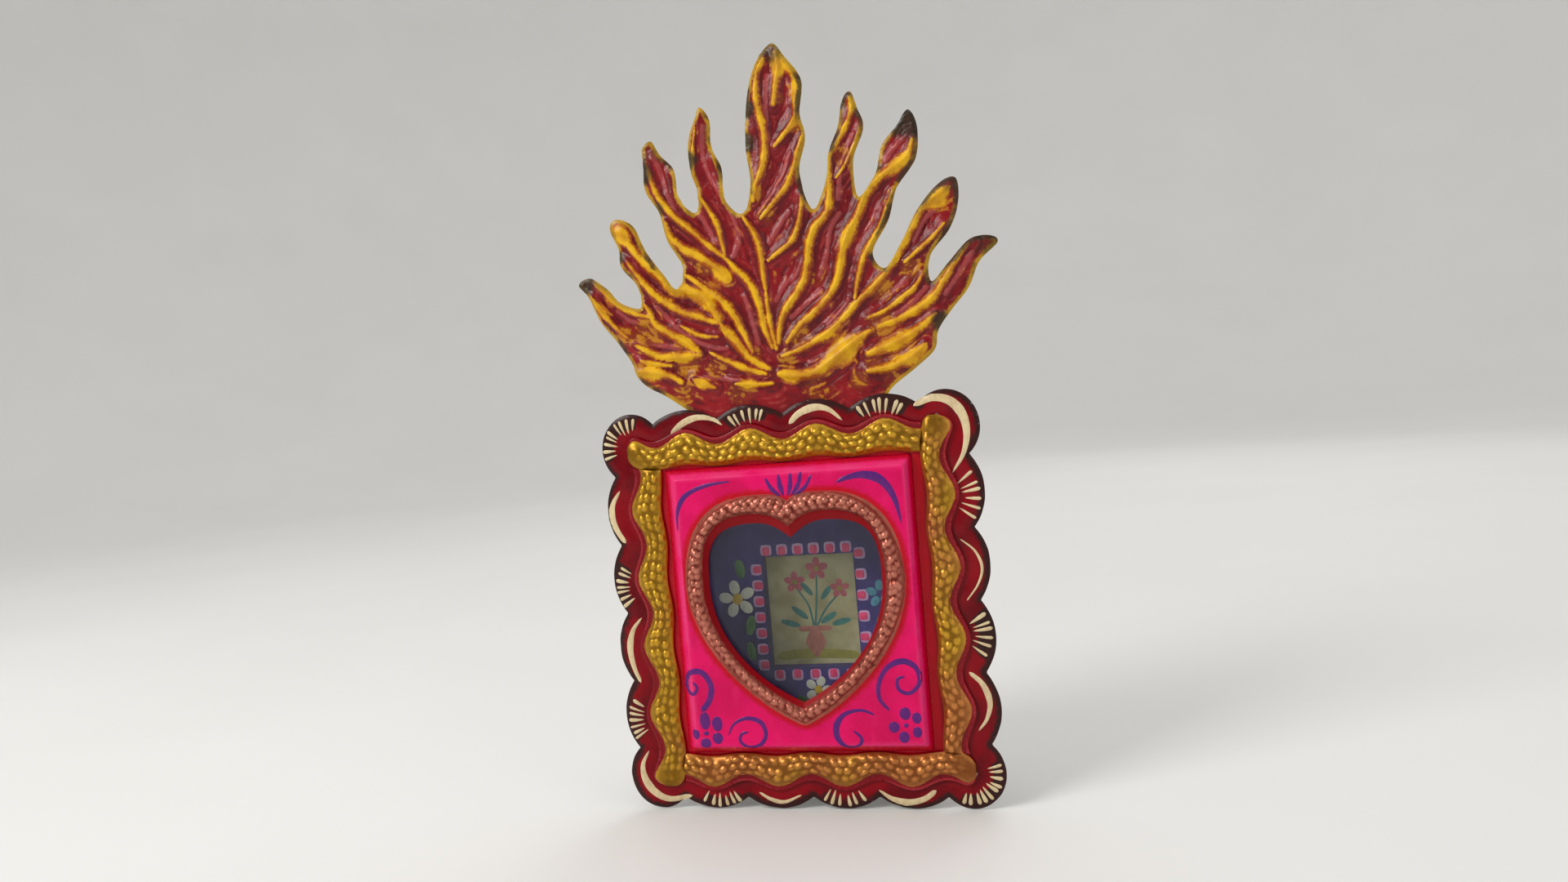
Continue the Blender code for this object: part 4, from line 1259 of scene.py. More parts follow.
def face_inset(points):
    """How far in from the tray's edge; the slope on the right is narrower than the one on the left."""
    x, z = points.T
    slope = np.where(x > 0, FACE_INSET - FACE_SHIFT, FACE_INSET + FACE_SHIFT)
    return np.minimum((PANEL_X - np.abs(x)) * FACE_INSET / slope, PANEL_Z - np.abs(z))


def slope_profile():
    """(inset, lift) up the tray's slope and round the bend to its face."""
    profile = []
    for t in np.linspace(0.0, 1.0, SLOPE_STEPS + 1):
        profile.append((PANEL_SLOPE * t, 2 * TIN + (PANEL_KNEE - 2 * TIN) * t))
    for turn in (pi / 6, pi / 3, pi / 2):
        inset = PANEL_SLOPE + (FACE_INSET - PANEL_SLOPE) * (1 - cos(turn))
        profile.append((inset, PANEL_KNEE + (PANEL_RISE - PANEL_KNEE) * sin(turn)))
    return profile


def panel_lift(points):
    """Height of the tray's face and slopes, without the heart."""
    return np.interp(face_inset(points), *np.transpose(slope_profile()))


def lip_edge():
    """The glass edge of the lip, which reaches further in under the heart's two lobes."""
    edge = heart(LIP_EDGE)
    under_lobes = smoothstep(edge[:, 1], *LOBE_LIP_RAMP)
    return edge - np.stack([0 * under_lobes, LOBE_LIP * under_lobes], axis=1)


def panel_loops():
    """(outline, lift, way from the ridge's middle) of each loop; None is a way still to be measured."""
    skirt = np.linspace(-PANEL_SKIRT, 2 * TIN, SKIRT_LOOPS + 1)[:-1]
    loops = [(panel_loop(0.0), lift, FAR_FROM_RIDGE) for lift in skirt]
    loops += [(panel_loop(inset), lift, FAR_FROM_RIDGE) for inset, lift in slope_profile()]
    edge = panel_loop(FACE_INSET)
    foot = heart(HEART_RIDGE + RIDGE_FOOT)
    for t in np.linspace(0.0, 1.0, FACE_LOOPS + 1)[1:]:
        loops.append((edge + (foot - edge) * t, PANEL_RISE, None))
    for offset in np.linspace(HEART_RIDGE, -HEART_RIDGE, RIDGE_LOOPS):
        swell = max(0.0, 1 - (offset / HEART_RIDGE) ** 2) ** HEART_RIDGE_ROUND
        tilt = INNER_TILT * max(0.0, -offset / HEART_RIDGE)
        loops.append((heart(offset), PANEL_RISE + HEART_RIDGE_HEIGHT * swell + tilt, offset))
    foot = heart(-HEART_RIDGE)
    edge = lip_edge()
    for t in np.linspace(0.0, 1.0, LIP_LOOPS + 1)[1:]:
        offset = -HEART_RIDGE + (LIP_EDGE + HEART_RIDGE) * t
        lift = PANEL_RISE + INNER_TILT + (LIP_LIFT - PANEL_RISE - INNER_TILT) * t
        loops.append((foot + (edge - foot) * t, lift, offset))
    return loops


print("slope of the tray in", len(slope_profile()), "steps")

# %% [markdown]
# Three rows of beads are punched up along the heart's ridge, the middle row half a pitch on. Shallow dents
# keep the face from being a mirror. The way from the ridge is known on most loops. On the face it is
# measured.

# %% Panel skin
HEART_BEAD_PITCH = 1.95
HEART_BEAD_RADIUS = 1.02
HEART_BEAD_RISE = 0.72
HEART_BEAD_ROUND = 0.8
HEART_BEAD_ROWS = (1.35, 0.1, -1.1)
HEART_BEAD_SLIP = 0.3
HEART_SAMPLES = 400
HEART_SAMPLE_STEP = 0.15
FLAT_INSET = 5.0
FLAT_BAND = 4.0
FACE_DENT = 0.08
FACE_DENT_SIZE = 9.0
HEART_DENT = 0.16
HEART_DENT_SIZE = 1.4
BOTTOM_GLAZE = (0.8, 2.4)
SLOPE_GLAZE = (0.4, 1.7)
SLOPE_GLAZE_DEPTH = 0.8
BEND_WIDTH = 0.7
FOOT_TONE = 0.55


def heart_beads():
    """(x, z, share of the full height) of the beads in three rows round the heart."""
    beads = []
    for row, offset in enumerate(HEART_BEAD_ROWS):
        line = ring_line(heart(offset), HEART_BEAD_PITCH)
        line = (line[:-1] + line[1:]) / 2 if row == 1 else line[:-1]
        for x, z in line:
            slip_x = hand.uniform(-HEART_BEAD_SLIP, HEART_BEAD_SLIP)
            slip_z = hand.uniform(-HEART_BEAD_SLIP, HEART_BEAD_SLIP)
            beads.append((x + slip_x, z + slip_z, hand.uniform(*BEAD_SHARE)))
    return np.array(beads)


def heart_panel():
    loops = panel_loops()
    flat = np.concatenate([loop for loop, _, _ in loops])
    lift = np.concatenate([np.full(len(loop), lift) for loop, lift, _ in loops])
    from_ridge, _ = nearest(flat, even_line(heart(0.0, HEART_SAMPLES), HEART_SAMPLE_STEP))
    band = np.concatenate([
        from_ridge[i * len(loop):(i + 1) * len(loop)] if at is None else np.full(len(loop), at)
        for i, (loop, _, at) in enumerate(loops)
    ])
    beads = heart_beads()
    apart, which = nearest(flat, beads[:, :2])
    on_ridge = np.clip(1 - (band / HEART_RIDGE) ** 2, 0.0, 1.0)
    punched = np.clip(1 - (apart / HEART_BEAD_RADIUS) ** 2, 0.0, 1.0) ** HEART_BEAD_ROUND
    bead = punched * np.sqrt(on_ridge) * beads[which, 2]
    inset = face_inset(flat)
    on_face = smoothstep(inset, FACE_INSET, FLAT_INSET) * smoothstep(band, HEART_RIDGE, FLAT_BAND)
    face_dents = FACE_DENT * hammer(flat, FACE_DENT_SIZE, seed=5.0) * on_face
    ridge_dents = HEART_DENT * hammer(flat, HEART_DENT_SIZE, seed=6.0) * on_ridge
    below = 1 - smoothstep(flat[:, 1] + PANEL_Z, *BOTTOM_GLAZE)
    marks = {
        "band": band,
        "glaze": np.maximum(below, SLOPE_GLAZE_DEPTH * (1 - smoothstep(inset, *SLOPE_GLAZE))),
        # The nearness to the tray's bend steers a painted highlight.
        "bend": np.exp(-((inset - PANEL_SLOPE) / BEND_WIDTH) ** 2),
        # The bead mark steers the ridge's painted highlight and shade. Off the ridge it is held at
        # FOOT_TONE.
        "bead": np.maximum(bead, FOOT_TONE * (1 - on_ridge)),
    }
    base = np.stack([flat[:, 0], lift, flat[:, 1]], axis=1)
    faces = grid_faces(len(loops), 2 * HEART_POINTS, closed=True)
    emboss = HEART_BEAD_RISE * bead + (face_dents + ridge_dents)
    pressed("heart_panel_skin", base, faces, emboss, marks, PANEL_PAINT)
    print("heart panel of", len(loops), "loops,", len(faces), "front faces")


heart_panel()

# %% [markdown]
# Purple scrolls and dots fill the panel's corners, with a small fan over the heart's cleft. They are
# strokes like those on the frame, thin at the ends and fuller in the bend.

# %% Strokes on the panel
SCROLLS = [
    ([(-28.4, 21.0), (-28.0, 26.0), (-25.5, 30.0), (-20.0, 32.2), (-13.5, 32.9)], (0.3, 1.2, 0.3)),
    ([(-1.0, 28.4), (-3.2, 30.4), (-4.6, 33.2)], (0.4, 1.0, 0.5)),
    ([(-0.2, 28.4), (-1.0, 31.0), (-1.2, 34.0)], (0.4, 1.2, 0.5)),
    ([(0.7, 28.4), (1.6, 31.0), (1.8, 34.2)], (0.4, 1.2, 0.5)),
    ([(1.5, 28.4), (3.6, 31.0), (4.5, 34.4)], (0.4, 1.2, 0.5)),
    ([(2.3, 28.5), (5.3, 30.4), (7.0, 33.2)], (0.4, 1.0, 0.5)),
    ([
        (13.0, 31.0), (16.0, 32.0), (20.0, 32.3), (24.0, 30.8), (26.8, 26.5), (28.2, 20.0),
    ], (0.5, 2.1, 0.2)),
    ([
        (-26.2, -25.0), (-23.9, -22.0), (-23.2, -18.5), (-25.0, -15.2), (-28.0, -14.8), (-30.0, -17.0),
        (-29.8, -19.8), (-28.0, -20.5), (-26.9, -18.9), (-28.0, -17.4),
    ], (1.3, 1.3, 0.6)),
    ([
        (-19.7, -31.2), (-18.0, -28.3), (-14.5, -26.9), (-11.0, -28.0), (-9.9, -31.0), (-11.5, -33.6),
        (-14.5, -34.3), (-16.7, -32.8), (-16.2, -30.9), (-14.4, -30.4),
    ], (0.3, 1.0, 0.5)),
    ([
        (21.6, -25.5), (19.4, -22.5), (19.6, -18.5), (22.0, -14.8), (25.8, -13.4), (29.0, -15.3),
        (29.3, -19.0), (26.8, -21.3), (24.3, -20.3), (24.2, -17.8), (26.0, -17.2),
    ], (0.5, 1.2, 0.5)),
    ([
        (18.0, -26.5), (14.5, -25.3), (10.5, -26.2), (8.2, -29.0), (8.3, -32.3), (10.5, -34.5),
        (13.3, -34.2), (14.2, -32.3), (12.3, -30.3),
    ], (0.4, 1.2, 0.5)),
]
DOTS = [
    (-25.6, -27.4, 2.4, 3.8), (-22.4, -28.2, 2.4, 3.2), (-28.4, -30.9, 2.0, 2.2), (-22.6, -31.9, 2.4, 2.5),
    (-25.8, -33.2, 2.5, 2.3), (-25.5, -30.6, 1.2, 1.0), (25.4, -26.3, 2.3, 2.6), (28.1, -27.4, 2.1, 2.4),
    (22.4, -29.6, 2.3, 2.3), (28.0, -30.9, 2.1, 2.3), (24.7, -32.1, 2.3, 2.4), (25.4, -29.2, 1.0, 1.0),
]
SCROLL_BRUSH = 1.4
DOT_BRUSH = (1.25, 1.2)
dots = [oval(x, z, DOT_BRUSH[0] * wide, DOT_BRUSH[1] * tall) for x, z, wide, tall in DOTS]
brushed("panel_scrolls", fuller(SCROLLS, SCROLL_BRUSH) + dots, panel_lift, PURPLE)

# %% [markdown]
# ## The crest of flames
# The crest is a sheet cut into nine tongues, with a neck that is soldered behind the frame. Its outline is
# a smooth curve through listed points. Heights on it are counted from the frame's top edge.

# %% Outline of the crest
CREST_OUTLINE = [
    (-24.0, -0.5), (-29.5, 3.5), (-35.7, 7.5), (-38.5, 13.5), (-42.0, 19.0), (-45.8, 24.5),
    (-48.0, 30.5), (-51.0, 34.3), (-47.5, 35.7), (-43.0, 32.5), (-39.5, 28.5), (-34.3, 26.8),
    (-35.0, 32.5), (-38.7, 37.5), (-39.3, 42.5), (-41.2, 47.5), (-39.5, 49.9), (-35.0, 47.8),
    (-31.9, 41.0), (-27.5, 34.5), (-24.2, 30.4),
    (-22.3, 35.5), (-25.6, 42.5), (-27.3, 50.0), (-30.6, 56.0), (-30.4, 63.0), (-30.6, 66.5),
    (-28.2, 68.3), (-26.0, 64.5), (-22.4, 60.0), (-21.6, 53.0), (-18.0, 48.9),
    (-16.6, 52.5), (-18.2, 60.5), (-18.0, 67.0), (-16.2, 71.5), (-14.8, 74.9), (-12.4, 71.5),
    (-12.4, 65.0), (-10.0, 59.0), (-9.6, 51.0), (-5.7, 47.3),
    (-3.0, 53.5), (-3.6, 63.5), (-2.4, 74.5), (0.3, 82.5), (4.8, 87.7), (8.2, 83.7),
    (11.8, 77.5), (10.8, 69.5), (11.7, 63.5), (9.5, 55.5), (12.0, 46.3),
    (16.0, 53.0), (17.2, 59.5), (19.7, 65.0), (21.2, 71.0), (23.5, 73.1), (24.9, 69.0),
    (26.0, 64.0), (22.9, 56.5), (23.4, 47.9),
    (27.8, 52.5), (30.0, 59.5), (33.8, 63.5), (36.8, 67.2), (38.8, 63.0), (38.0, 55.5),
    (33.0, 49.0), (30.3, 41.5), (25.9, 34.2), (28.7, 30.1),
    (33.2, 36.0), (37.0, 42.5), (42.5, 48.5), (46.8, 49.7), (47.2, 44.5), (44.8, 38.0),
    (39.5, 31.8), (39.4, 25.8),
    (43.7, 29.8), (49.0, 34.7), (53.5, 35.3), (55.6, 33.5), (51.0, 29.4), (48.0, 23.5),
    (43.5, 18.5), (40.1, 14.0), (38.9, 9.5), (34.0, 5.5), (28.5, 1.7), (26.5, -0.5),
]
CREST_OVERLAP = 7.0
OUTLINE_STEP = 0.4


def crest_loop():
    """The cut outline, from the neck behind the frame round all the tongues."""
    flames = smooth_line(CREST_OUTLINE, OUTLINE_STEP) + (0.0, HALF_Z)
    foot = HALF_Z - CREST_OVERLAP
    return np.concatenate([flames, [(flames[-1, 0], foot), (flames[0, 0], foot)]])


print("crest outline of", len(crest_loop()), "points")

# %% [markdown]
# Dozens of ridges were chased into the sheet. They run from the neck into the tongues like veins. They
# could be sculpted, but lines in a list can be set right one at a time. Each ridge is a half width and a
# line.

# %% Ridges of the crest
RIDGES = [
    (0.9, [(0.2, 13.0), (-1.0, 21.0), (-1.3, 28.0)]),
    (1.1, [
        (-0.8, 13.5), (-2.5, 19.0), (-3.2, 24.0), (-4.2, 28.0), (-6.0, 31.0), (-8.5, 34.0),
        (-11.0, 37.0),
    ]),
    (1.1, [
        (-6.0, 13.0), (-7.5, 17.0), (-9.5, 21.5), (-12.0, 25.5), (-16.0, 29.0), (-20.0, 32.5),
        (-22.0, 34.0),
    ]),
    (1.4, [
        (-2.0, 8.5), (-6.0, 11.0), (-10.0, 16.0), (-13.0, 20.0), (-15.0, 24.0), (-17.5, 28.0),
        (-21.5, 30.0), (-25.5, 31.2), (-29.5, 35.5), (-33.5, 39.5), (-36.0, 43.0), (-38.0, 46.5),
    ]),
    (1.0, [
        (-13.0, 20.5), (-18.0, 22.5), (-23.0, 24.5), (-27.0, 27.0), (-30.5, 30.0), (-34.0, 34.5),
        (-37.0, 39.0),
    ]),
    (0.8, [(-14.5, 17.5), (-19.0, 18.3), (-24.0, 21.2)]),
    (1.2, [(-19.5, 14.0), (-23.0, 17.0), (-27.0, 19.5), (-30.5, 22.0), (-31.8, 25.0), (-33.0, 27.5)]),
    (0.9, [(-31.0, 23.8), (-36.0, 25.5), (-40.0, 28.0), (-43.0, 31.0), (-46.0, 33.8)]),
    (0.8, [(-38.5, 19.5), (-42.0, 23.0), (-45.0, 26.8), (-47.2, 30.8)]),
    (1.3, [(-19.5, 13.4), (-25.0, 13.3), (-30.0, 13.9), (-33.0, 15.4), (-36.5, 17.4)]),
    (1.3, [(-25.0, 6.9), (-28.0, 8.9), (-32.0, 10.2), (-36.5, 10.4)]),
    (1.2, [(-16.5, 5.0), (-19.0, 6.0), (-22.0, 7.4)]),
    (1.0, [(-3.0, 7.2), (-8.0, 9.0), (-12.5, 11.3), (-17.0, 13.8)]),
    (1.0, [(-1.5, 4.8), (-6.0, 4.8), (-11.0, 5.4)]),
    (0.9, [
        (-10.0, 36.0), (-13.5, 39.0), (-16.0, 41.5), (-19.5, 45.0), (-23.5, 49.0), (-26.5, 53.0),
        (-28.5, 58.0), (-29.6, 63.0),
    ]),
    (1.3, [(-10.5, 31.5), (-13.0, 34.5), (-17.0, 37.5), (-21.0, 40.0), (-24.6, 43.5), (-25.6, 47.5)]),
    (0.6, [(-19.8, 49.6), (-22.0, 54.0), (-22.5, 59.0)]),
    (0.9, [(-11.0, 37.5), (-11.5, 41.0), (-12.3, 45.0), (-13.8, 48.5), (-16.0, 52.5)]),
    (0.6, [(-17.2, 58.0), (-17.0, 64.0), (-15.8, 70.0)]),
    (0.6, [(-9.8, 51.0), (-10.4, 57.0), (-11.9, 62.0)]),
    (1.1, [(-1.3, 28.0), (-1.6, 33.0), (-1.8, 37.5), (-3.0, 42.0), (-5.6, 46.6)]),
    (1.0, [
        (-2.6, 50.0), (-2.0, 53.0), (-0.5, 56.0), (1.0, 60.0), (1.6, 65.0), (1.0, 70.0), (0.2, 75.5),
        (1.0, 80.5), (2.8, 84.0),
    ]),
    (1.2, [(4.5, 72.5), (5.5, 77.5), (6.3, 81.0), (6.2, 85.0)]),
    (0.9, [(3.8, 62.5), (6.0, 64.5), (9.5, 68.5), (10.2, 72.5), (10.6, 76.5), (9.0, 81.0), (7.2, 84.0)]),
    (0.9, [(-1.0, 45.5), (2.5, 49.0), (6.0, 52.5), (8.2, 56.5), (9.5, 60.5), (11.2, 64.2)]),
    (0.9, [(0.0, 35.0), (3.0, 37.0), (6.0, 39.0), (8.0, 42.5), (9.2, 46.5), (9.6, 50.0)]),
    (1.1, [
        (0.8, 14.5), (1.6, 19.0), (3.5, 23.0), (6.5, 26.5), (8.5, 29.5), (9.6, 33.0), (10.3, 37.0),
        (12.0, 41.5), (15.5, 45.0), (16.6, 49.0), (16.8, 54.0), (17.2, 58.5),
    ]),
    (0.9, [(17.4, 58.5), (19.8, 62.0), (22.3, 65.8), (23.8, 69.5), (23.4, 71.8)]),
    (0.6, [(18.5, 53.0), (21.0, 56.0), (23.6, 60.5), (25.2, 64.5)]),
    (1.1, [
        (3.0, 14.5), (6.0, 18.0), (10.0, 21.0), (14.0, 24.5), (16.5, 28.0), (17.8, 32.0), (18.7, 36.0),
        (20.5, 40.0), (23.0, 43.5), (25.0, 47.5), (28.0, 51.0), (32.0, 53.5), (36.0, 56.0), (37.6, 60.0),
    ]),
    (0.9, [
        (20.8, 23.5), (21.8, 28.0), (23.8, 33.5), (26.2, 37.0), (28.8, 41.0), (30.4, 45.0), (32.0, 48.0),
    ]),
    (1.0, [
        (1.5, 11.3), (5.0, 12.2), (10.0, 14.2), (14.5, 16.7), (18.5, 20.0), (21.5, 23.0), (25.5, 26.0),
        (29.0, 29.2), (32.0, 33.0), (34.0, 36.0), (36.5, 40.0), (38.5, 43.2), (41.5, 45.5), (45.5, 47.5),
    ]),
    (0.8, [(33.5, 31.0), (37.0, 33.5), (40.5, 36.2), (43.6, 39.2)]),
    (0.8, [(23.5, 18.5), (28.0, 20.0), (32.0, 22.5), (35.5, 25.0), (37.6, 28.0)]),
    (1.0, [
        (26.0, 16.3), (31.0, 17.6), (36.5, 20.0), (40.0, 22.6), (43.0, 26.6), (46.0, 30.8), (49.0, 34.0),
    ]),
    (1.4, [(23.0, 10.0), (28.0, 11.5), (33.0, 13.5), (37.0, 15.8), (40.0, 18.0)]),
    (1.4, [(22.5, 5.8), (28.0, 6.3), (33.0, 8.2), (37.0, 11.0)]),
    (1.6, [(0.5, 7.0), (4.5, 6.2), (9.5, 6.8), (14.5, 9.8), (19.0, 12.8), (24.0, 15.5)]),
    (0.8, [(-27.5, 11.4), (-31.5, 12.2), (-35.5, 13.4)]),
]
print(len(RIDGES), "ridges")

# %% [markdown]
# Finer folds lie between the ridges. Three lists hold round patches, each a middle, a reach and a depth:
# where tips and edges are sooty, where the yellow spreads over a wider place, and where the red is
# stained brown.

# %% Folds and patches of the crest
FOLDS = [
    [(-30.0, 26.5), (-27.5, 23.5), (-24.5, 20.0), (-20.0, 16.8), (-15.0, 14.8), (-12.5, 14.6)],
    [(-17.0, 29.3), (-13.5, 26.6), (-10.5, 22.0), (-8.2, 17.0), (-6.4, 13.5)],
    [(-7.0, 27.0), (-5.8, 22.0), (-4.8, 17.5), (-4.3, 15.0)],
    [(-38.5, 18.2), (-33.5, 17.6), (-28.5, 16.4), (-25.0, 15.6)],
    [(-19.0, 7.9), (-14.0, 7.0), (-9.0, 6.0)],
    [(-40.5, 26.5), (-37.0, 23.5), (-32.5, 22.6)],
    [(4.5, 20.5), (8.5, 23.5), (12.5, 26.5)],
    [(13.5, 18.0), (17.0, 21.0), (19.0, 23.5)],
    [(8.0, 9.2), (12.0, 9.8), (15.0, 11.0)],
    [(27.5, 22.5), (31.0, 25.0), (34.5, 28.0)],
    [(30.0, 18.8), (34.0, 20.8), (38.0, 24.5)],
    [(1.0, 25.0), (3.0, 28.5), (6.5, 31.0), (8.6, 34.5)],
    [(12.5, 30.0), (14.5, 35.0), (16.0, 41.0), (18.5, 44.5)],
    [(-13.0, 41.0), (-15.5, 46.0), (-17.0, 48.5)],
    [
        (-9.0, 37.0), (-7.2, 41.0), (-8.0, 46.0), (-10.5, 52.0), (-13.5, 58.0), (-14.6, 64.0),
        (-14.0, 70.0),
    ],
    [(-22.5, 49.0), (-24.5, 54.0), (-26.0, 60.0), (-28.0, 65.0)],
    [(0.5, 39.5), (3.5, 43.5), (6.0, 46.5)],
    [(-1.5, 47.0), (2.5, 51.5), (5.5, 56.0), (7.5, 60.5)],
    [(2.4, 68.0), (2.6, 74.0), (3.6, 80.0)],
    [(18.5, 48.0), (19.4, 53.0), (20.8, 58.0), (23.4, 63.0)],
    [(30.5, 55.5), (33.0, 58.5), (36.0, 61.0)],
    [(36.0, 36.0), (39.0, 40.5), (42.0, 43.0)],
    [(42.5, 22.5), (46.0, 27.0), (49.5, 31.5)],
]
SOOT = [
    ((-49.5, 34.8), 7.0, 0.75), ((-39.6, 48.0), 3.0, 0.2), ((-29.4, 66.5), 9.0, 0.45),
    ((-15.0, 73.5), 6.0, 0.15), ((4.6, 86.8), 8.0, 0.6), ((23.4, 72.4), 3.0, 0.2),
    ((37.0, 65.0), 9.0, 0.85), ((46.2, 48.6), 6.0, 0.5), ((54.0, 33.6), 8.0, 0.55),
    ((-3.4, 64.5), 4.5, 0.8), ((-2.8, 72.5), 4.0, 0.85), ((-18.2, 62.0), 4.5, 0.75),
    ((-30.4, 60.0), 4.5, 0.7), ((-27.4, 51.0), 3.5, 0.6), ((-39.4, 40.0), 3.5, 0.7),
    ((41.0, 16.0), 4.5, 0.75), ((10.8, 78.5), 2.5, 0.5),
]
GLOWS = [
    ((-34.0, 9.8), 6.0, 0.8), ((-24.5, 13.6), 5.0, 0.5), ((-23.0, 16.5), 4.5, 0.5),
    ((-18.0, 27.0), 5.0, 0.5), ((-24.5, 30.5), 4.5, 0.6), ((-12.5, 32.0), 5.0, 0.8),
    ((29.5, 12.0), 8.0, 0.5), ((17.0, 11.5), 7.0, 0.9), ((35.0, 8.0), 6.0, 0.7),
    ((42.5, 45.0), 5.5, 1.0), ((36.0, 21.0), 6.0, 0.3), ((-39.0, 46.5), 5.5, 1.0),
    ((6.5, 83.0), 5.5, 1.0), ((23.5, 70.5), 4.0, 0.6), ((11.0, 75.0), 4.0, 0.9),
    ((21.0, 38.5), 4.0, 0.5), ((3.0, 6.0), 4.0, 0.6), ((10.4, 66.0), 3.5, 0.6), ((34.0, 54.5), 5.0, 0.6),
    ((-20.0, 6.2), 3.0, 0.7), ((-8.0, 5.5), 3.5, 0.6), ((-44.0, 28.0), 4.0, 0.6),
]
STAINS = [
    ((-33.0, 20.5), 7.0, 0.9), ((-39.0, 20.0), 5.0, 0.8), ((-23.5, 11.2), 5.5, 0.9),
    ((-16.5, 9.5), 5.0, 0.7), ((-2.0, 51.5), 3.5, 0.9), ((-17.0, 35.0), 4.0, 0.8),
    ((-5.0, 12.0), 3.0, 0.6), ((6.5, 15.5), 5.0, 0.8), ((2.5, 10.5), 3.5, 0.9), ((27.0, 16.5), 6.0, 0.9),
    ((27.0, 25.0), 5.0, 0.9), ((35.0, 29.0), 4.5, 0.8), ((11.5, 29.5), 4.0, 0.5),
    ((20.0, 3.5), 4.0, 0.8), ((24.0, 8.5), 4.0, 0.8), ((0.5, 46.0), 4.0, 0.6), ((20.5, 58.0), 4.5, 0.6),
    ((31.0, 46.0), 4.0, 0.6), ((-10.5, 60.0), 4.0, 0.5), ((5.5, 74.0), 3.0, 0.7),
    ((-10.0, 3.0), 6.0, 0.6), ((10.0, 2.6), 7.0, 0.6), ((-25.0, 3.8), 6.0, 0.6), ((28.0, 3.2), 5.0, 0.6),
]
print(len(FOLDS), "folds;", len(SOOT), "sooty,", len(GLOWS), "yellow and", len(STAINS), "brown patches")

# %% [markdown]
# The flames are painted in steps: red lacquer over everything, with painted shade in the hollows and along
# the feet of the ridges, a painted sheen on the raised creases and folds, then smears of brown with yellow
# flecks. Yellow goes on the ridges with a brush held flat, so it stops raggedly where the metal falls away.
# Its ochre fringe on the flanks is partly that ragged edge and partly painted shade. Last, the edges are
# darkened and the tips blackened.

# %% Flame enamel


def flame_enamel():
    finish = Finish("flame_enamel", gloss(0.1, 0.15, 0.25))
    ridge = finish.mark("ridge")
    crease = finish.mark("crease")
    rim = finish.mark("rim")
    soot = finish.mark("soot")
    glow = finish.mark("glow")
    fold = finish.mark("fold")
    stain = finish.mark("stain")
    cloud = finish.grain(9.0, 4.0)
    brush = finish.grain(0.9, 4.0, twist=0.8)
    patch = finish.grain(3.4, 4.0)
    red = finish.mix(finish.fade(cloud, 0.35, 0.65), paint(142, 8, 20), paint(112, 2, 14))
    # Painted shade at the feet of the ridges and in the low parts of the creases.
    foot = finish.fade(ridge, 3.4, 2.0) * finish.fade(ridge, 1.2, 1.9)
    hollow_shade = (finish.fade(crease, -0.1, -0.6) * 0.7).higher(foot * 0.6)
    red_with_painted_shade = finish.mix(hollow_shade, red, paint(70, 4, 12))
    # A painted sheen on the raised creases.
    crease_sheen = finish.mix(finish.fade(crease + patch, 0.6, 1.0) * 0.4, red_with_painted_shade, paint(176, 70, 66))
    # A painted sheen on the folds.
    sheen = finish.mix(finish.fade(fold + 0.9 * (brush - 0.5), 0.3, 0.9) * 0.55, crease_sheen, paint(180, 84, 84))
    smear = finish.fade(stain + 0.9 * (patch - 0.5) + 0.8 * (brush - 0.5), 0.3, 0.8)
    stained = finish.mix(smear * 0.8, sheen, paint(134, 52, 12))
    fleck = finish.fade(crease + 1.3 * (brush - 0.5) + 0.75 * stain.higher(glow), 0.45, 0.9)
    flecked = finish.mix(fleck * 0.8, stained, paint(198, 132, 16))
    amber = finish.mix(finish.fade(patch, 0.35, 0.65), paint(232, 178, 10), paint(206, 144, 10))
    ragged = ridge * (1 - 0.75 * glow) + 1.5 * (brush - 0.5) + 1.7 * (patch - 0.5) - 0.5 * glow
    # The ochre fringe on the ridges' flanks is partly the dry brush's ragged edge and partly painted shade.
    ochre = finish.mix(finish.fade(ragged, 1.8, 0.9) * 0.85, flecked, paint(178, 92, 8))
    crown = finish.fade(ragged, 1.1, 0.5)
    yellow = finish.mix(crown, ochre, amber)
    edge = finish.fade(rim + 1.4 * (brush - 0.5) + 1.6 * (cloud - 0.5), 1.3, 0.6)
    olive = finish.mix(finish.fade(cloud, 0.38, 0.5), paint(52, 44, 22), paint(188, 146, 18))
    edged = finish.mix(edge * 0.85, yellow, olive)
    burnt = finish.fade(soot + 0.6 * (patch - 0.5), 0.25, 0.75)
    black = finish.mix(cloud, paint(24, 16, 14), paint(52, 42, 16))
    tone = finish.mix(burnt * 0.9, edged, black)
    rough = 0.24 + 0.16 * brush + 0.1 * crown
    relief = finish.bump(0.6 * brush + 0.4 * patch, 0.26, 0.8)
    return finish.drive({"Base Color": tone, "Roughness": rough, "Normal": relief})


FLAME = flame_enamel()
print("crest paint:", FLAME.name)

# %% [markdown]
# The relief of the flames hangs on their ridges, so the first need is the ridge nearest to any point: how
# far it is, how wide and at which place. Each ridge thins out towards its ends, as a chasing tool lifts. A
# second helper turns the lists of patches into values.

# %% Relief of the crest
RIDGE_STEP = 0.2
TAPER = 12.0
TAPER_LEAD = 1.0
TIP_SHARE = 0.2
TAPER_SHARE = 0.58
PATCH_MIDDLE = 0.25


def tapered(half, line):
    """Half widths along a ridge, which thins out towards both ends."""
    place = np.arange(len(line)) * RIDGE_STEP
    from_end = np.minimum(place + TAPER_LEAD, place[::-1])
    return half * (TIP_SHARE + TAPER_SHARE * np.sqrt(np.clip(from_end / TAPER, 0.0, 1.0)))


def ridge_field(points):
    """Of the ridge nearest to each point: how far it is, its half width and the place along it."""
    lines = [(half, smooth_line(line, RIDGE_STEP) + (0.0, HALF_Z)) for half, line in RIDGES]
    halves = np.concatenate([tapered(half, line) for half, line in lines])
    apart, which = nearest(points, np.concatenate([line for _, line in lines]))
    return apart, halves[which], which * RIDGE_STEP


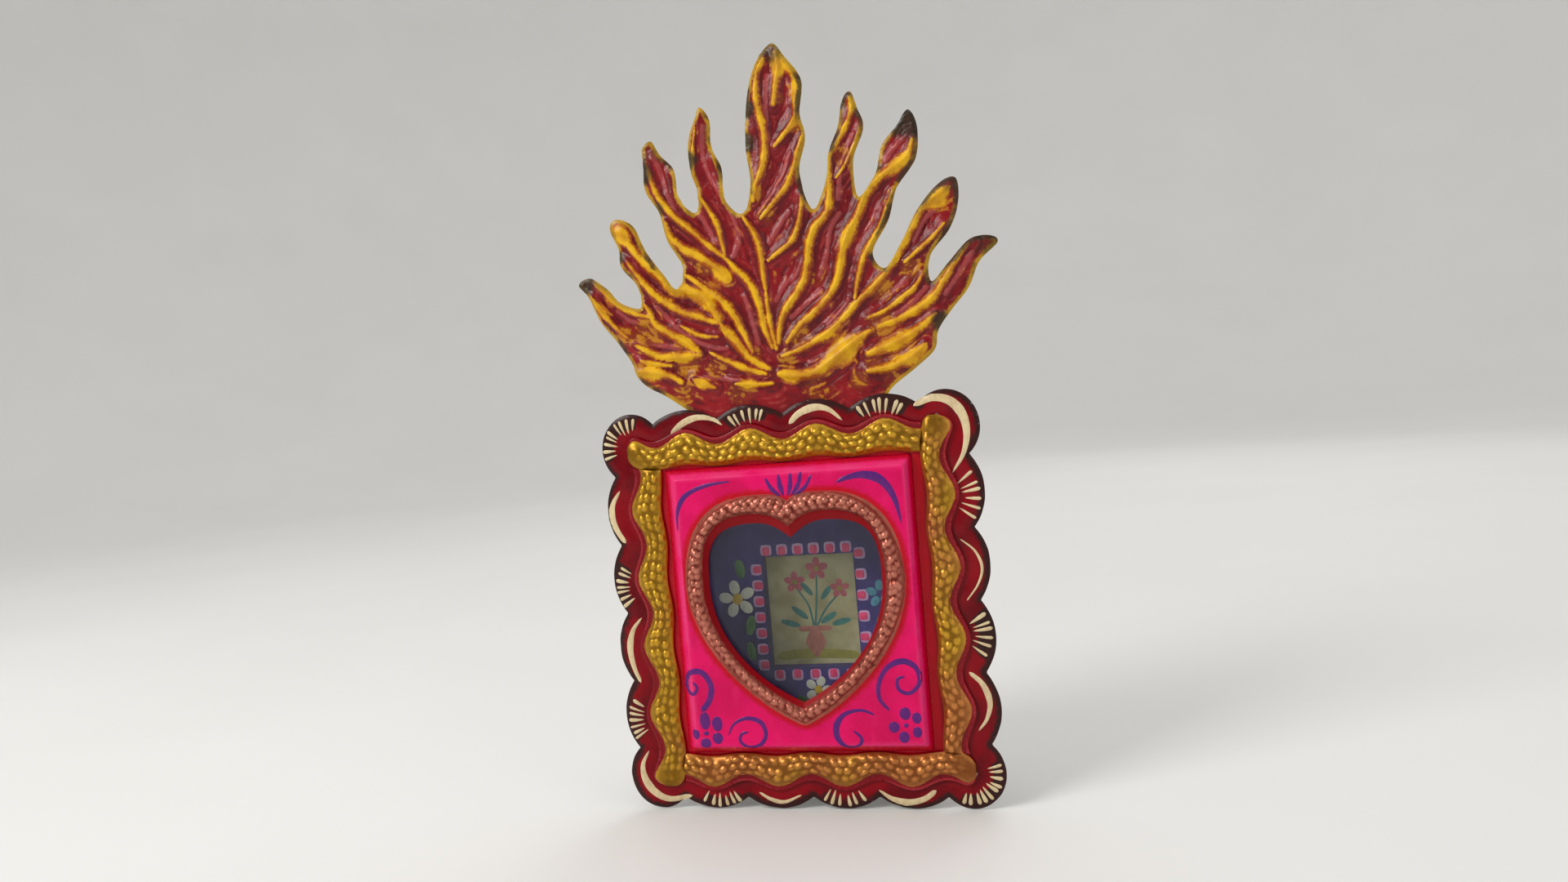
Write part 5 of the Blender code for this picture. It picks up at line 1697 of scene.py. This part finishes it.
def spread(points, spots):
    """The strongest of several round patches at each point; spots are (middle, reach, depth)."""
    patch = np.zeros(len(points))
    for (x, z), reach, depth in spots:
        away = np.hypot(points[:, 0] - x, points[:, 1] - z - HALF_Z)
        patch = np.maximum(patch, depth * (1 - smoothstep(away, PATCH_MIDDLE * reach, reach)))
    return patch


print("a ridge of 1 mm starts at", tapered(1.0, range(100))[0].round(2), "mm")

# %% [markdown]
# Now the sheet is cut and the heights are added up: a low swell all round each ridge, a sharper cord on
# top, and creases and folds that stay clear of the cords. The rim rolls back, slow bows run through the
# whole sheet, and the neck stays flat behind the frame. The distances and the patches become the marks
# that steer the enamel.

# %% Crest skin
CREST_STEP = 0.42
CREST_SHEET = -TIN - GAP
CREST_RIM_STEP = 0.15
SWELL_REACH = 3.2
SWELL_RISE = 1.3
SWELL_POINT = 1.25
CORD_WIDTH = 1.3
CORD_RISE = 0.5
FOLD_STEP = 0.3
FOLD_WIDTH = 0.9
FOLD_RISE = 0.4
FOLD_CLEAR = (1.0, 2.2)
STREAK_LENGTH = 5.0
STREAK_WIDTH = 0.8
CREASE_RISE = 0.26
CREASE_CLEAR = (0.9, 2.0)
FINE_CREASE = 0.5
FINE_CREASE_SIZE = 1.5
BOWS = ((0.35, 16.0, 2.0), (0.14, 4.0, 7.0))  # rise, size, seed
CREST_ROLL = 0.3
CREST_ROLL_WIDTH = 0.8
NECK_FLAT = 0.6
NECK_RAMP = 5.0
MARK_LIMIT = 5.0


def flame_crest():
    outline = crest_loop()
    flat, faces = cut_sheet([outline], CREST_STEP)
    apart, half, place = ridge_field(flat)
    cord = apart / half
    swell = SWELL_RISE * np.clip(1 - apart / SWELL_REACH, 0.0, 1.0) ** SWELL_POINT
    sharp = CORD_RISE * np.clip(1 - (cord / CORD_WIDTH) ** 2, 0.0, 1.0) * np.minimum(1.0, half)
    folds = np.concatenate([smooth_line(line, FOLD_STEP) for line in FOLDS]) + (0.0, HALF_Z)
    to_fold, _ = nearest(flat, folds)
    fold = np.clip(1 - (to_fold / FOLD_WIDTH) ** 2, 0.0, 1.0) * smoothstep(cord, *FOLD_CLEAR)
    streak = np.stack([place / STREAK_LENGTH, apart / STREAK_WIDTH], axis=1)
    ripple = hammer(streak, 1.0, seed=8.0) + FINE_CREASE * hammer(flat, FINE_CREASE_SIZE, seed=9.0)
    crease = ripple * smoothstep(cord, *CREASE_CLEAR)
    bow = sum(rise * hammer(flat, size, seed) for rise, size, seed in BOWS)
    to_rim, _ = nearest(flat, ring_line(outline, CREST_RIM_STEP))
    roll = CREST_ROLL * np.clip(1 - to_rim / CREST_ROLL_WIDTH, 0.0, 1.0) ** 2
    chased = swell + sharp + CREASE_RISE * crease + FOLD_RISE * fold
    free = smoothstep(flat[:, 1], HALF_Z + NECK_FLAT, HALF_Z + NECK_RAMP)
    base = np.stack([flat[:, 0], CREST_SHEET + free * (chased + bow - roll), flat[:, 1]], axis=1)
    marks = {
        "ridge": np.minimum(cord, MARK_LIMIT),
        # crease and fold also steer the painted shade in the hollows and the painted sheen on raised creases
        # and folds.
        "crease": crease,
        "rim": np.minimum(to_rim, MARK_LIMIT),
        "soot": spread(flat, SOOT),
        "glow": spread(flat, GLOWS),
        "fold": fold,
        "stain": spread(flat, STAINS),
    }
    pressed("flame_crest_skin", base, faces, 0.0, marks, FLAME)
    print("crest of", len(faces), "front triangles")


flame_crest()

# %% [markdown]
# ## Behind the glass
# The painted panel inside is violet. Its window has a folded edge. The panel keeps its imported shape, and
# only gets a better finish.

# %% Violet panel


def redress(node, material):
    """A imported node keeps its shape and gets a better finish."""
    mesh = frame["nodes"][node].data
    mesh.materials.clear()
    mesh.materials.append(material)


def violet_enamel():
    finish = Finish("violet_enamel", {"Specular IOR Level": 0.15})
    cloud = finish.grain(12.0, 4.0)
    brush = finish.grain(1.4, 4.0, (1.0, 1.0, 0.4))
    tone = finish.mix(finish.fade(cloud, 0.35, 0.65), paint(58, 46, 118), paint(42, 30, 94))
    brushed_tone = finish.mix(finish.fade(brush, 0.5, 0.8) * 0.35, tone, paint(74, 62, 132))
    relief = finish.bump(brush, 0.08, 0.5)
    return finish.drive({"Base Color": brushed_tone, "Roughness": 0.38 + 0.2 * cloud, "Normal": relief})


redress("niche_panel", violet_enamel())
print("the panel inside is", frame["nodes"]["niche_panel"].data.materials[0].name)

# %% [markdown]
# Pink half rounds with pale lilac rims stand round the window like stitches. A daisy, leaves and two more
# flowers show through the heart. All of them are strokes on the flat panel, in layers, and a thicker layer
# covers a thinner one.

# %% Strokes inside
niche_low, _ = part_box("niche_panel")
NICHE_LIFT = (FACE_Y - niche_low.y) / MM
WINDOW_X = 12.35
WINDOW_Z = 15.15
WINDOW_DROP = 4.6
DAB_START = 0.2
DAB_SQUARENESS = 3.5


def flat_at(lift):
    """The height function of a flat sheet."""
    return lambda points: np.full(len(points), lift)


def window_dabs(width, depth):
    """Half rounds along the four sides of the window, as short strokes that point away from it."""
    rows = [
        ((-11.0, 10.6), 6, lambda s: (s, WINDOW_Z - WINDOW_DROP), (0.0, 1.0)),
        ((-10.0, 9.6), 5, lambda s: (s, -WINDOW_Z - WINDOW_DROP), (0.0, -1.0)),
        ((-18.6, 7.2), 7, lambda s: (-WINDOW_X, s), (-1.0, 0.0)),
        ((-17.4, 10.4), 6, lambda s: (WINDOW_X, s), (1.0, 0.0)),
    ]
    strokes = []
    for (start, end), count, edge, (out_x, out_z) in rows:
        for k in range(count):
            x, z = edge(start + (end - start) * k / (count - 1))
            ends = [(x + out_x * reach, z + out_z * reach) for reach in (DAB_START, depth)]
            strokes.append((ends, (width, DAB_SQUARENESS)))
    return strokes


def petals(x, z, count, inner, outer, width, start=90.0):
    """Oval petals round a middle."""
    reach = (inner + outer) / 2
    flower = []
    for k in range(count):
        turn = start + 360 * k / count
        angle = radians(turn)
        flower.append(oval(x + reach * cos(angle), z + reach * sin(angle), width, outer - inner, turn - 90))
    return flower


def inside_ornament():
    lilac = brush_paint("lilac_rims", paint(196, 160, 196), paint(176, 140, 184))
    rose = brush_paint("rose_dabs", paint(222, 60, 112), paint(206, 40, 96))
    white = brush_paint("daisy_petals", paint(216, 214, 196), paint(196, 200, 186))
    butter = brush_paint("flower_hearts", paint(206, 172, 44), paint(188, 150, 30))
    green = brush_paint("leaves", paint(74, 120, 60), paint(52, 96, 52))
    teal = brush_paint("teal_petals", paint(72, 140, 156), paint(54, 116, 140))
    daisy = petals(-20.0, -0.5, 5, 1.2, 5.2, 3.3, 100.0)
    low_flower = petals(0.2, -25.6, 5, 1.0, 3.8, 2.7, 70.0)
    hearts = [oval(-20.0, -0.5, 3.2, 3.2), oval(0.2, -25.6, 2.4, 2.4)]
    leaves = [
        oval(-18.6, 7.6, 3.2, 5.4, 8.0),
        oval(-16.9, -7.8, 3.0, 5.6, -14.0),
        oval(-17.2, -14.8, 2.8, 5.2, 10.0),
        oval(-3.8, -28.4, 2.2, 4.4, 60.0),
        oval(4.6, -28.2, 2.2, 4.4, -60.0),
        oval(18.4, -9.0, 2.6, 5.0, 12.0),
    ]
    layers = [
        ("window_dab_rims", window_dabs(3.5, 3.3), lilac, 0.1),
        ("window_dabs", window_dabs(2.6, 2.7), rose, 0.2),
        ("niche_daisies", daisy + low_flower, white, 0.12),
        ("niche_flower_hearts", hearts, butter, 0.22),
        ("niche_leaves", leaves, green, 0.1),
        ("niche_teal_flower", petals(18.6, -0.6, 5, 0.8, 3.8, 2.4), teal, 0.12),
    ]
    for name, strokes, colour, thickness in layers:
        brushed(name, strokes, flat_at(NICHE_LIFT), colour, thickness)


inside_ornament()

# %% [markdown]
# ## The picture on the door
# The rear door carries a small printed card. The design here is a plain one: a flowering plant in a clay
# pot on cream paper. It is printed flat, so its shapes stand hardly proud of the card. It rides on the
# door, and swings out with it.

# %% Card, board and print
card_low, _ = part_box("picture_card")
CARD_LIFT = (FACE_Y - card_low.y) / MM
PRINT_ROUGHNESS = 0.5


def aged_card():
    finish = Finish("aged_card", {})
    cloud = finish.grain(7.0, 4.0)
    fibre = finish.grain(0.5, 3.0)
    tone = finish.mix(finish.fade(cloud, 0.35, 0.7), paint(178, 170, 128), paint(146, 138, 92))
    speckled = finish.mix(finish.fade(fibre, 0.6, 0.75) * 0.3, tone, paint(122, 112, 70))
    relief = finish.bump(fibre, 0.02, 0.4)
    return finish.drive({"Base Color": speckled, "Roughness": 0.5 + 0.2 * cloud, "Normal": relief})


def grey_board():
    finish = Finish("grey_board", {})
    fibre = finish.grain(0.7, 5.0, (0.3, 1.0, 1.0))
    cloud = finish.grain(8.0, 3.0)
    tone = finish.mix(fibre, paint(150, 140, 124), paint(172, 162, 146))
    wear_and_bend_highlight = finish.mix(finish.fade(cloud, 0.5, 0.8) * 0.4, tone, paint(126, 112, 92))
    relief = finish.bump(fibre, 0.05, 0.6)
    return finish.drive({"Base Color": wear_and_bend_highlight, "Roughness": 0.8 + 0.1 * cloud, "Normal": relief})


def print_ink(name, first, second):
    return brush_paint(name, first, second, PRINT_ROUGHNESS)


def printed_plant():
    """Pot, stems, leaves and three blooms."""
    olive = print_ink("print_ground", paint(150, 142, 50), paint(132, 128, 46))
    clay = print_ink("print_clay", paint(176, 110, 94), paint(156, 94, 80))
    teal = print_ink("print_teal", paint(58, 124, 116), paint(42, 104, 100))
    rose = print_ink("print_rose", paint(188, 92, 100), paint(170, 74, 86))
    ground = [([(-11.5, -17.6), (-4.0, -17.0), (4.0, -17.2), (11.5, -17.8)], (3.4, 4.0, 3.2))]
    pot = [
        ([(-0.4, -18.0), (-0.4, -14.0), (-0.4, -10.4)], (5.4, 7.2, 8.6)),
        ([(-5.0, -10.2), (4.2, -10.2)], (1.8, 1.8, 1.8)),
    ]
    stems = [
        ([(-0.6, -9.6), (-1.6, -4.0), (-4.6, 1.0)], (0.8, 0.7, 0.6)),
        ([(-0.2, -9.6), (0.6, -3.0), (1.2, 4.4)], (0.8, 0.7, 0.6)),
        ([(0.2, -9.6), (3.0, -5.0), (6.4, -1.4)], (0.8, 0.7, 0.6)),
    ]
    leaves = [
        oval(-4.2, -5.8, 2.2, 5.6, 52.0),
        oval(3.6, -7.4, 2.2, 5.2, -58.0),
        oval(-1.8, 0.6, 2.0, 4.6, 40.0),
        oval(3.4, -0.6, 2.0, 4.6, -38.0),
        oval(-7.0, -8.6, 2.2, 5.6, 74.0),
        oval(7.0, -8.6, 2.2, 5.4, -76.0),
    ]
    blooms = [
        *petals(-5.0, 2.6, 5, 0.5, 3.0, 2.2),
        *petals(1.3, 6.0, 5, 0.5, 3.2, 2.4),
        *petals(7.2, 0.4, 5, 0.5, 2.7, 2.0),
    ]
    hearts = [oval(-5.0, 2.6, 1.5, 1.5), oval(1.3, 6.0, 1.6, 1.6), oval(7.2, 0.4, 1.4, 1.4)]
    layers = [
        ("print_ground", ground, olive, 0.03),
        ("print_stems", stems + leaves, teal, 0.05),
        ("print_pot", pot, clay, 0.07),
        ("print_blooms", blooms, rose, 0.08),
        ("print_hearts", hearts, olive, 0.11),
    ]
    for name, strokes, ink, thickness in layers:
        brushed(name, strokes, flat_at(CARD_LIFT), ink, thickness, "door")


redress("picture_card", aged_card())
redress("picture_backing", grey_board())
printed_plant()

# %% [markdown]
# ## Glass and the plain metal pieces
# The pane is window glass, slightly smudged. Lamps would be blocked by real refraction, so rays from lamps
# pass straight through and light the box. The box, door, hinge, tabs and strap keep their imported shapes.

# %% Glass, box, door and hanger
PLAIN_TIN = (
    "box_shell", "rear_door", "hinge_leaf", "hanger_strap",
    "glass_tab_left", "glass_tab_right", "glass_tab_top", "glass_tab_bottom",
)
PLAIN_WIRE = ("hinge_wire", "hanging_ring")


def window_glass():
    fixed = {
        "Transmission Weight": 1.0,
        "IOR": 1.3,
        "Specular IOR Level": 0.1,
        "Base Color": (0.97, 0.99, 0.98, 1.0),
    }
    finish = Finish("window_glass", fixed)
    smudge = finish.fade(finish.grain(9.0, 4.0, twist=1.0), 0.52, 0.78)
    finish.drive({"Roughness": 0.004 + 0.025 * smudge})
    lamp_ray = finish.node("ShaderNodeLightPath", output="Is Shadow Ray")
    clear = finish.node("ShaderNodeBsdfTransparent")
    pane = Sock(finish, finish.shader.outputs[0])
    both = finish.node("ShaderNodeMixShader", None, {0: lamp_ray, 1: pane, 2: clear})
    finish.feed(finish.tree.nodes["Material Output"].inputs["Surface"], both)
    return finish.material


redress("glass_pane", window_glass())
for node in PLAIN_TIN:
    redress(node, TINPLATE)
for node in PLAIN_WIRE:
    redress(node, DRAWN_WIRE)
print("bare tin on", len(PLAIN_TIN), "pieces and wire on", len(PLAIN_WIRE))

# %% [markdown]
# ## Solder
# The tin pieces are tacked together with solder. Each tack is a short lumpy bead along a seam at the back:
# round the box's lip, along the crest's foot, along the hinge leaf and at the front foot of the hanging
# strap. A tack is a tube whose radius wanders and closes at both ends.

# %% Solder tacks
TACK_RADIUS = 0.62
TACK_SIDES = 10
TACK_STEP = 0.45
LEAST_STEPS = 6
LUMP = 0.45
LUMPS = 3.0
LUMP_SPAN = 4
LUMP_SEED = 3.7
BLUNT_END = 5
LEAST_END = 0.02


def tack_rings(start, end, seed):
    """Rings of points round a straight seam between two places in sheet coordinates."""
    start = Vector(start)
    along = Vector(end) - start
    count = max(LEAST_STEPS, int(along.length / TACK_STEP))
    ahead = along.normalized()
    aside = ahead.orthogonal().normalized()
    out = ahead.cross(aside)
    rings = []
    for i in range(count + 1):
        t = i / count
        close = sqrt(max(LEAST_END, 1 - abs(2 * t - 1) ** BLUNT_END))
        ring = []
        for k in range(TACK_SIDES):
            angle = 2 * pi * k / TACK_SIDES
            bumps = LUMPS * t * along.length / LUMP_SPAN
            lump = noise.noise(Vector((bumps, cos(angle), sin(angle) + seed)))
            reach = TACK_RADIUS * close * (1 + LUMP * lump)
            ring.append(start + along * t + (aside * cos(angle) + out * sin(angle)) * reach)
        rings.append(ring)
    return rings


def solder_tacks(name, seams):
    tubes = [tack_rings(start, end, LUMP_SEED * i) for i, (start, end) in enumerate(seams)]
    points, faces = capped_tubes(tubes)
    piece = add_piece(name, points, faces, [SOLDER])
    face_outward(piece.data)
    print(name, len(seams), "tacks")


print("a tack of 4 mm has", len(tack_rings((0.0, 0.0, 0.0), (4.0, 0.0, 0.0), 0.0)), "rings")

# %% [markdown]
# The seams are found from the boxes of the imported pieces. A seam is a pair of places, its two ends.

# %% Seams
LIP_TACK = 5.0
LIP_SHARES = (-0.62, 0.0, 0.62)
CREST_TACK = 4.0
CREST_PLACES = (-18.0, -4.0, 8.0, 21.0)
LEAF_TACK = 3.5
LEAF_PLACES = (-15.0, 0.0, 15.0)
LEAF_INSET = 0.4
STRAP_TACK = 2.2
STRAP_GAP = 0.1
SEAM_LIFT = -TIN - GAP


def lip_seams():
    """Three tacks on each side of the box's lip, where it lies on the back of the frame."""
    shell_low, shell_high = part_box("box_shell")
    lip_x = shell_high.x / MM
    lip_z = (shell_high.z - shell_low.z) / 2 / MM
    seams = []
    for share in LIP_SHARES:
        x = share * lip_x
        z = share * lip_z
        for side in (-1, 1):
            across = side * lip_x
            up = side * lip_z
            seams.append(((across, SEAM_LIFT, z - LIP_TACK), (across, SEAM_LIFT, z + LIP_TACK)))
            seams.append(((x - LIP_TACK, SEAM_LIFT, up), (x + LIP_TACK, SEAM_LIFT, up)))
    return seams


def crest_seams():
    """Tacks along the foot of the crest."""
    foot = HALF_Z - CREST_OVERLAP
    return [
        ((x - CREST_TACK, SEAM_LIFT, foot), (x + CREST_TACK, SEAM_LIFT, foot)) for x in CREST_PLACES
    ]


def fitting_seams():
    """Tacks at the hinge leaf and at the front foot of the strap."""
    leaf_low, leaf_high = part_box("hinge_leaf")
    strap_low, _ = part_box("hanger_strap")
    leaf_x = leaf_high.x / MM - LEAF_INSET
    leaf_lift = (FACE_Y - leaf_low.y) / MM
    leaf_z = (leaf_low.z + leaf_high.z) / 2
    seams = []
    for shift in LEAF_PLACES:
        z = (leaf_z - MIDDLE_Z) / MM + shift
        seams.append(((leaf_x, leaf_lift, z - LEAF_TACK), (leaf_x, leaf_lift, z + LEAF_TACK)))
    strap_front = (FACE_Y - strap_low.y) / MM
    strap_z = (strap_low.z - MIDDLE_Z) / MM + STRAP_GAP
    seams.append(((-STRAP_TACK, strap_front, strap_z), (STRAP_TACK, strap_front, strap_z)))
    return seams


solder_tacks("solder_tacks", lip_seams() + crest_seams() + fitting_seams())
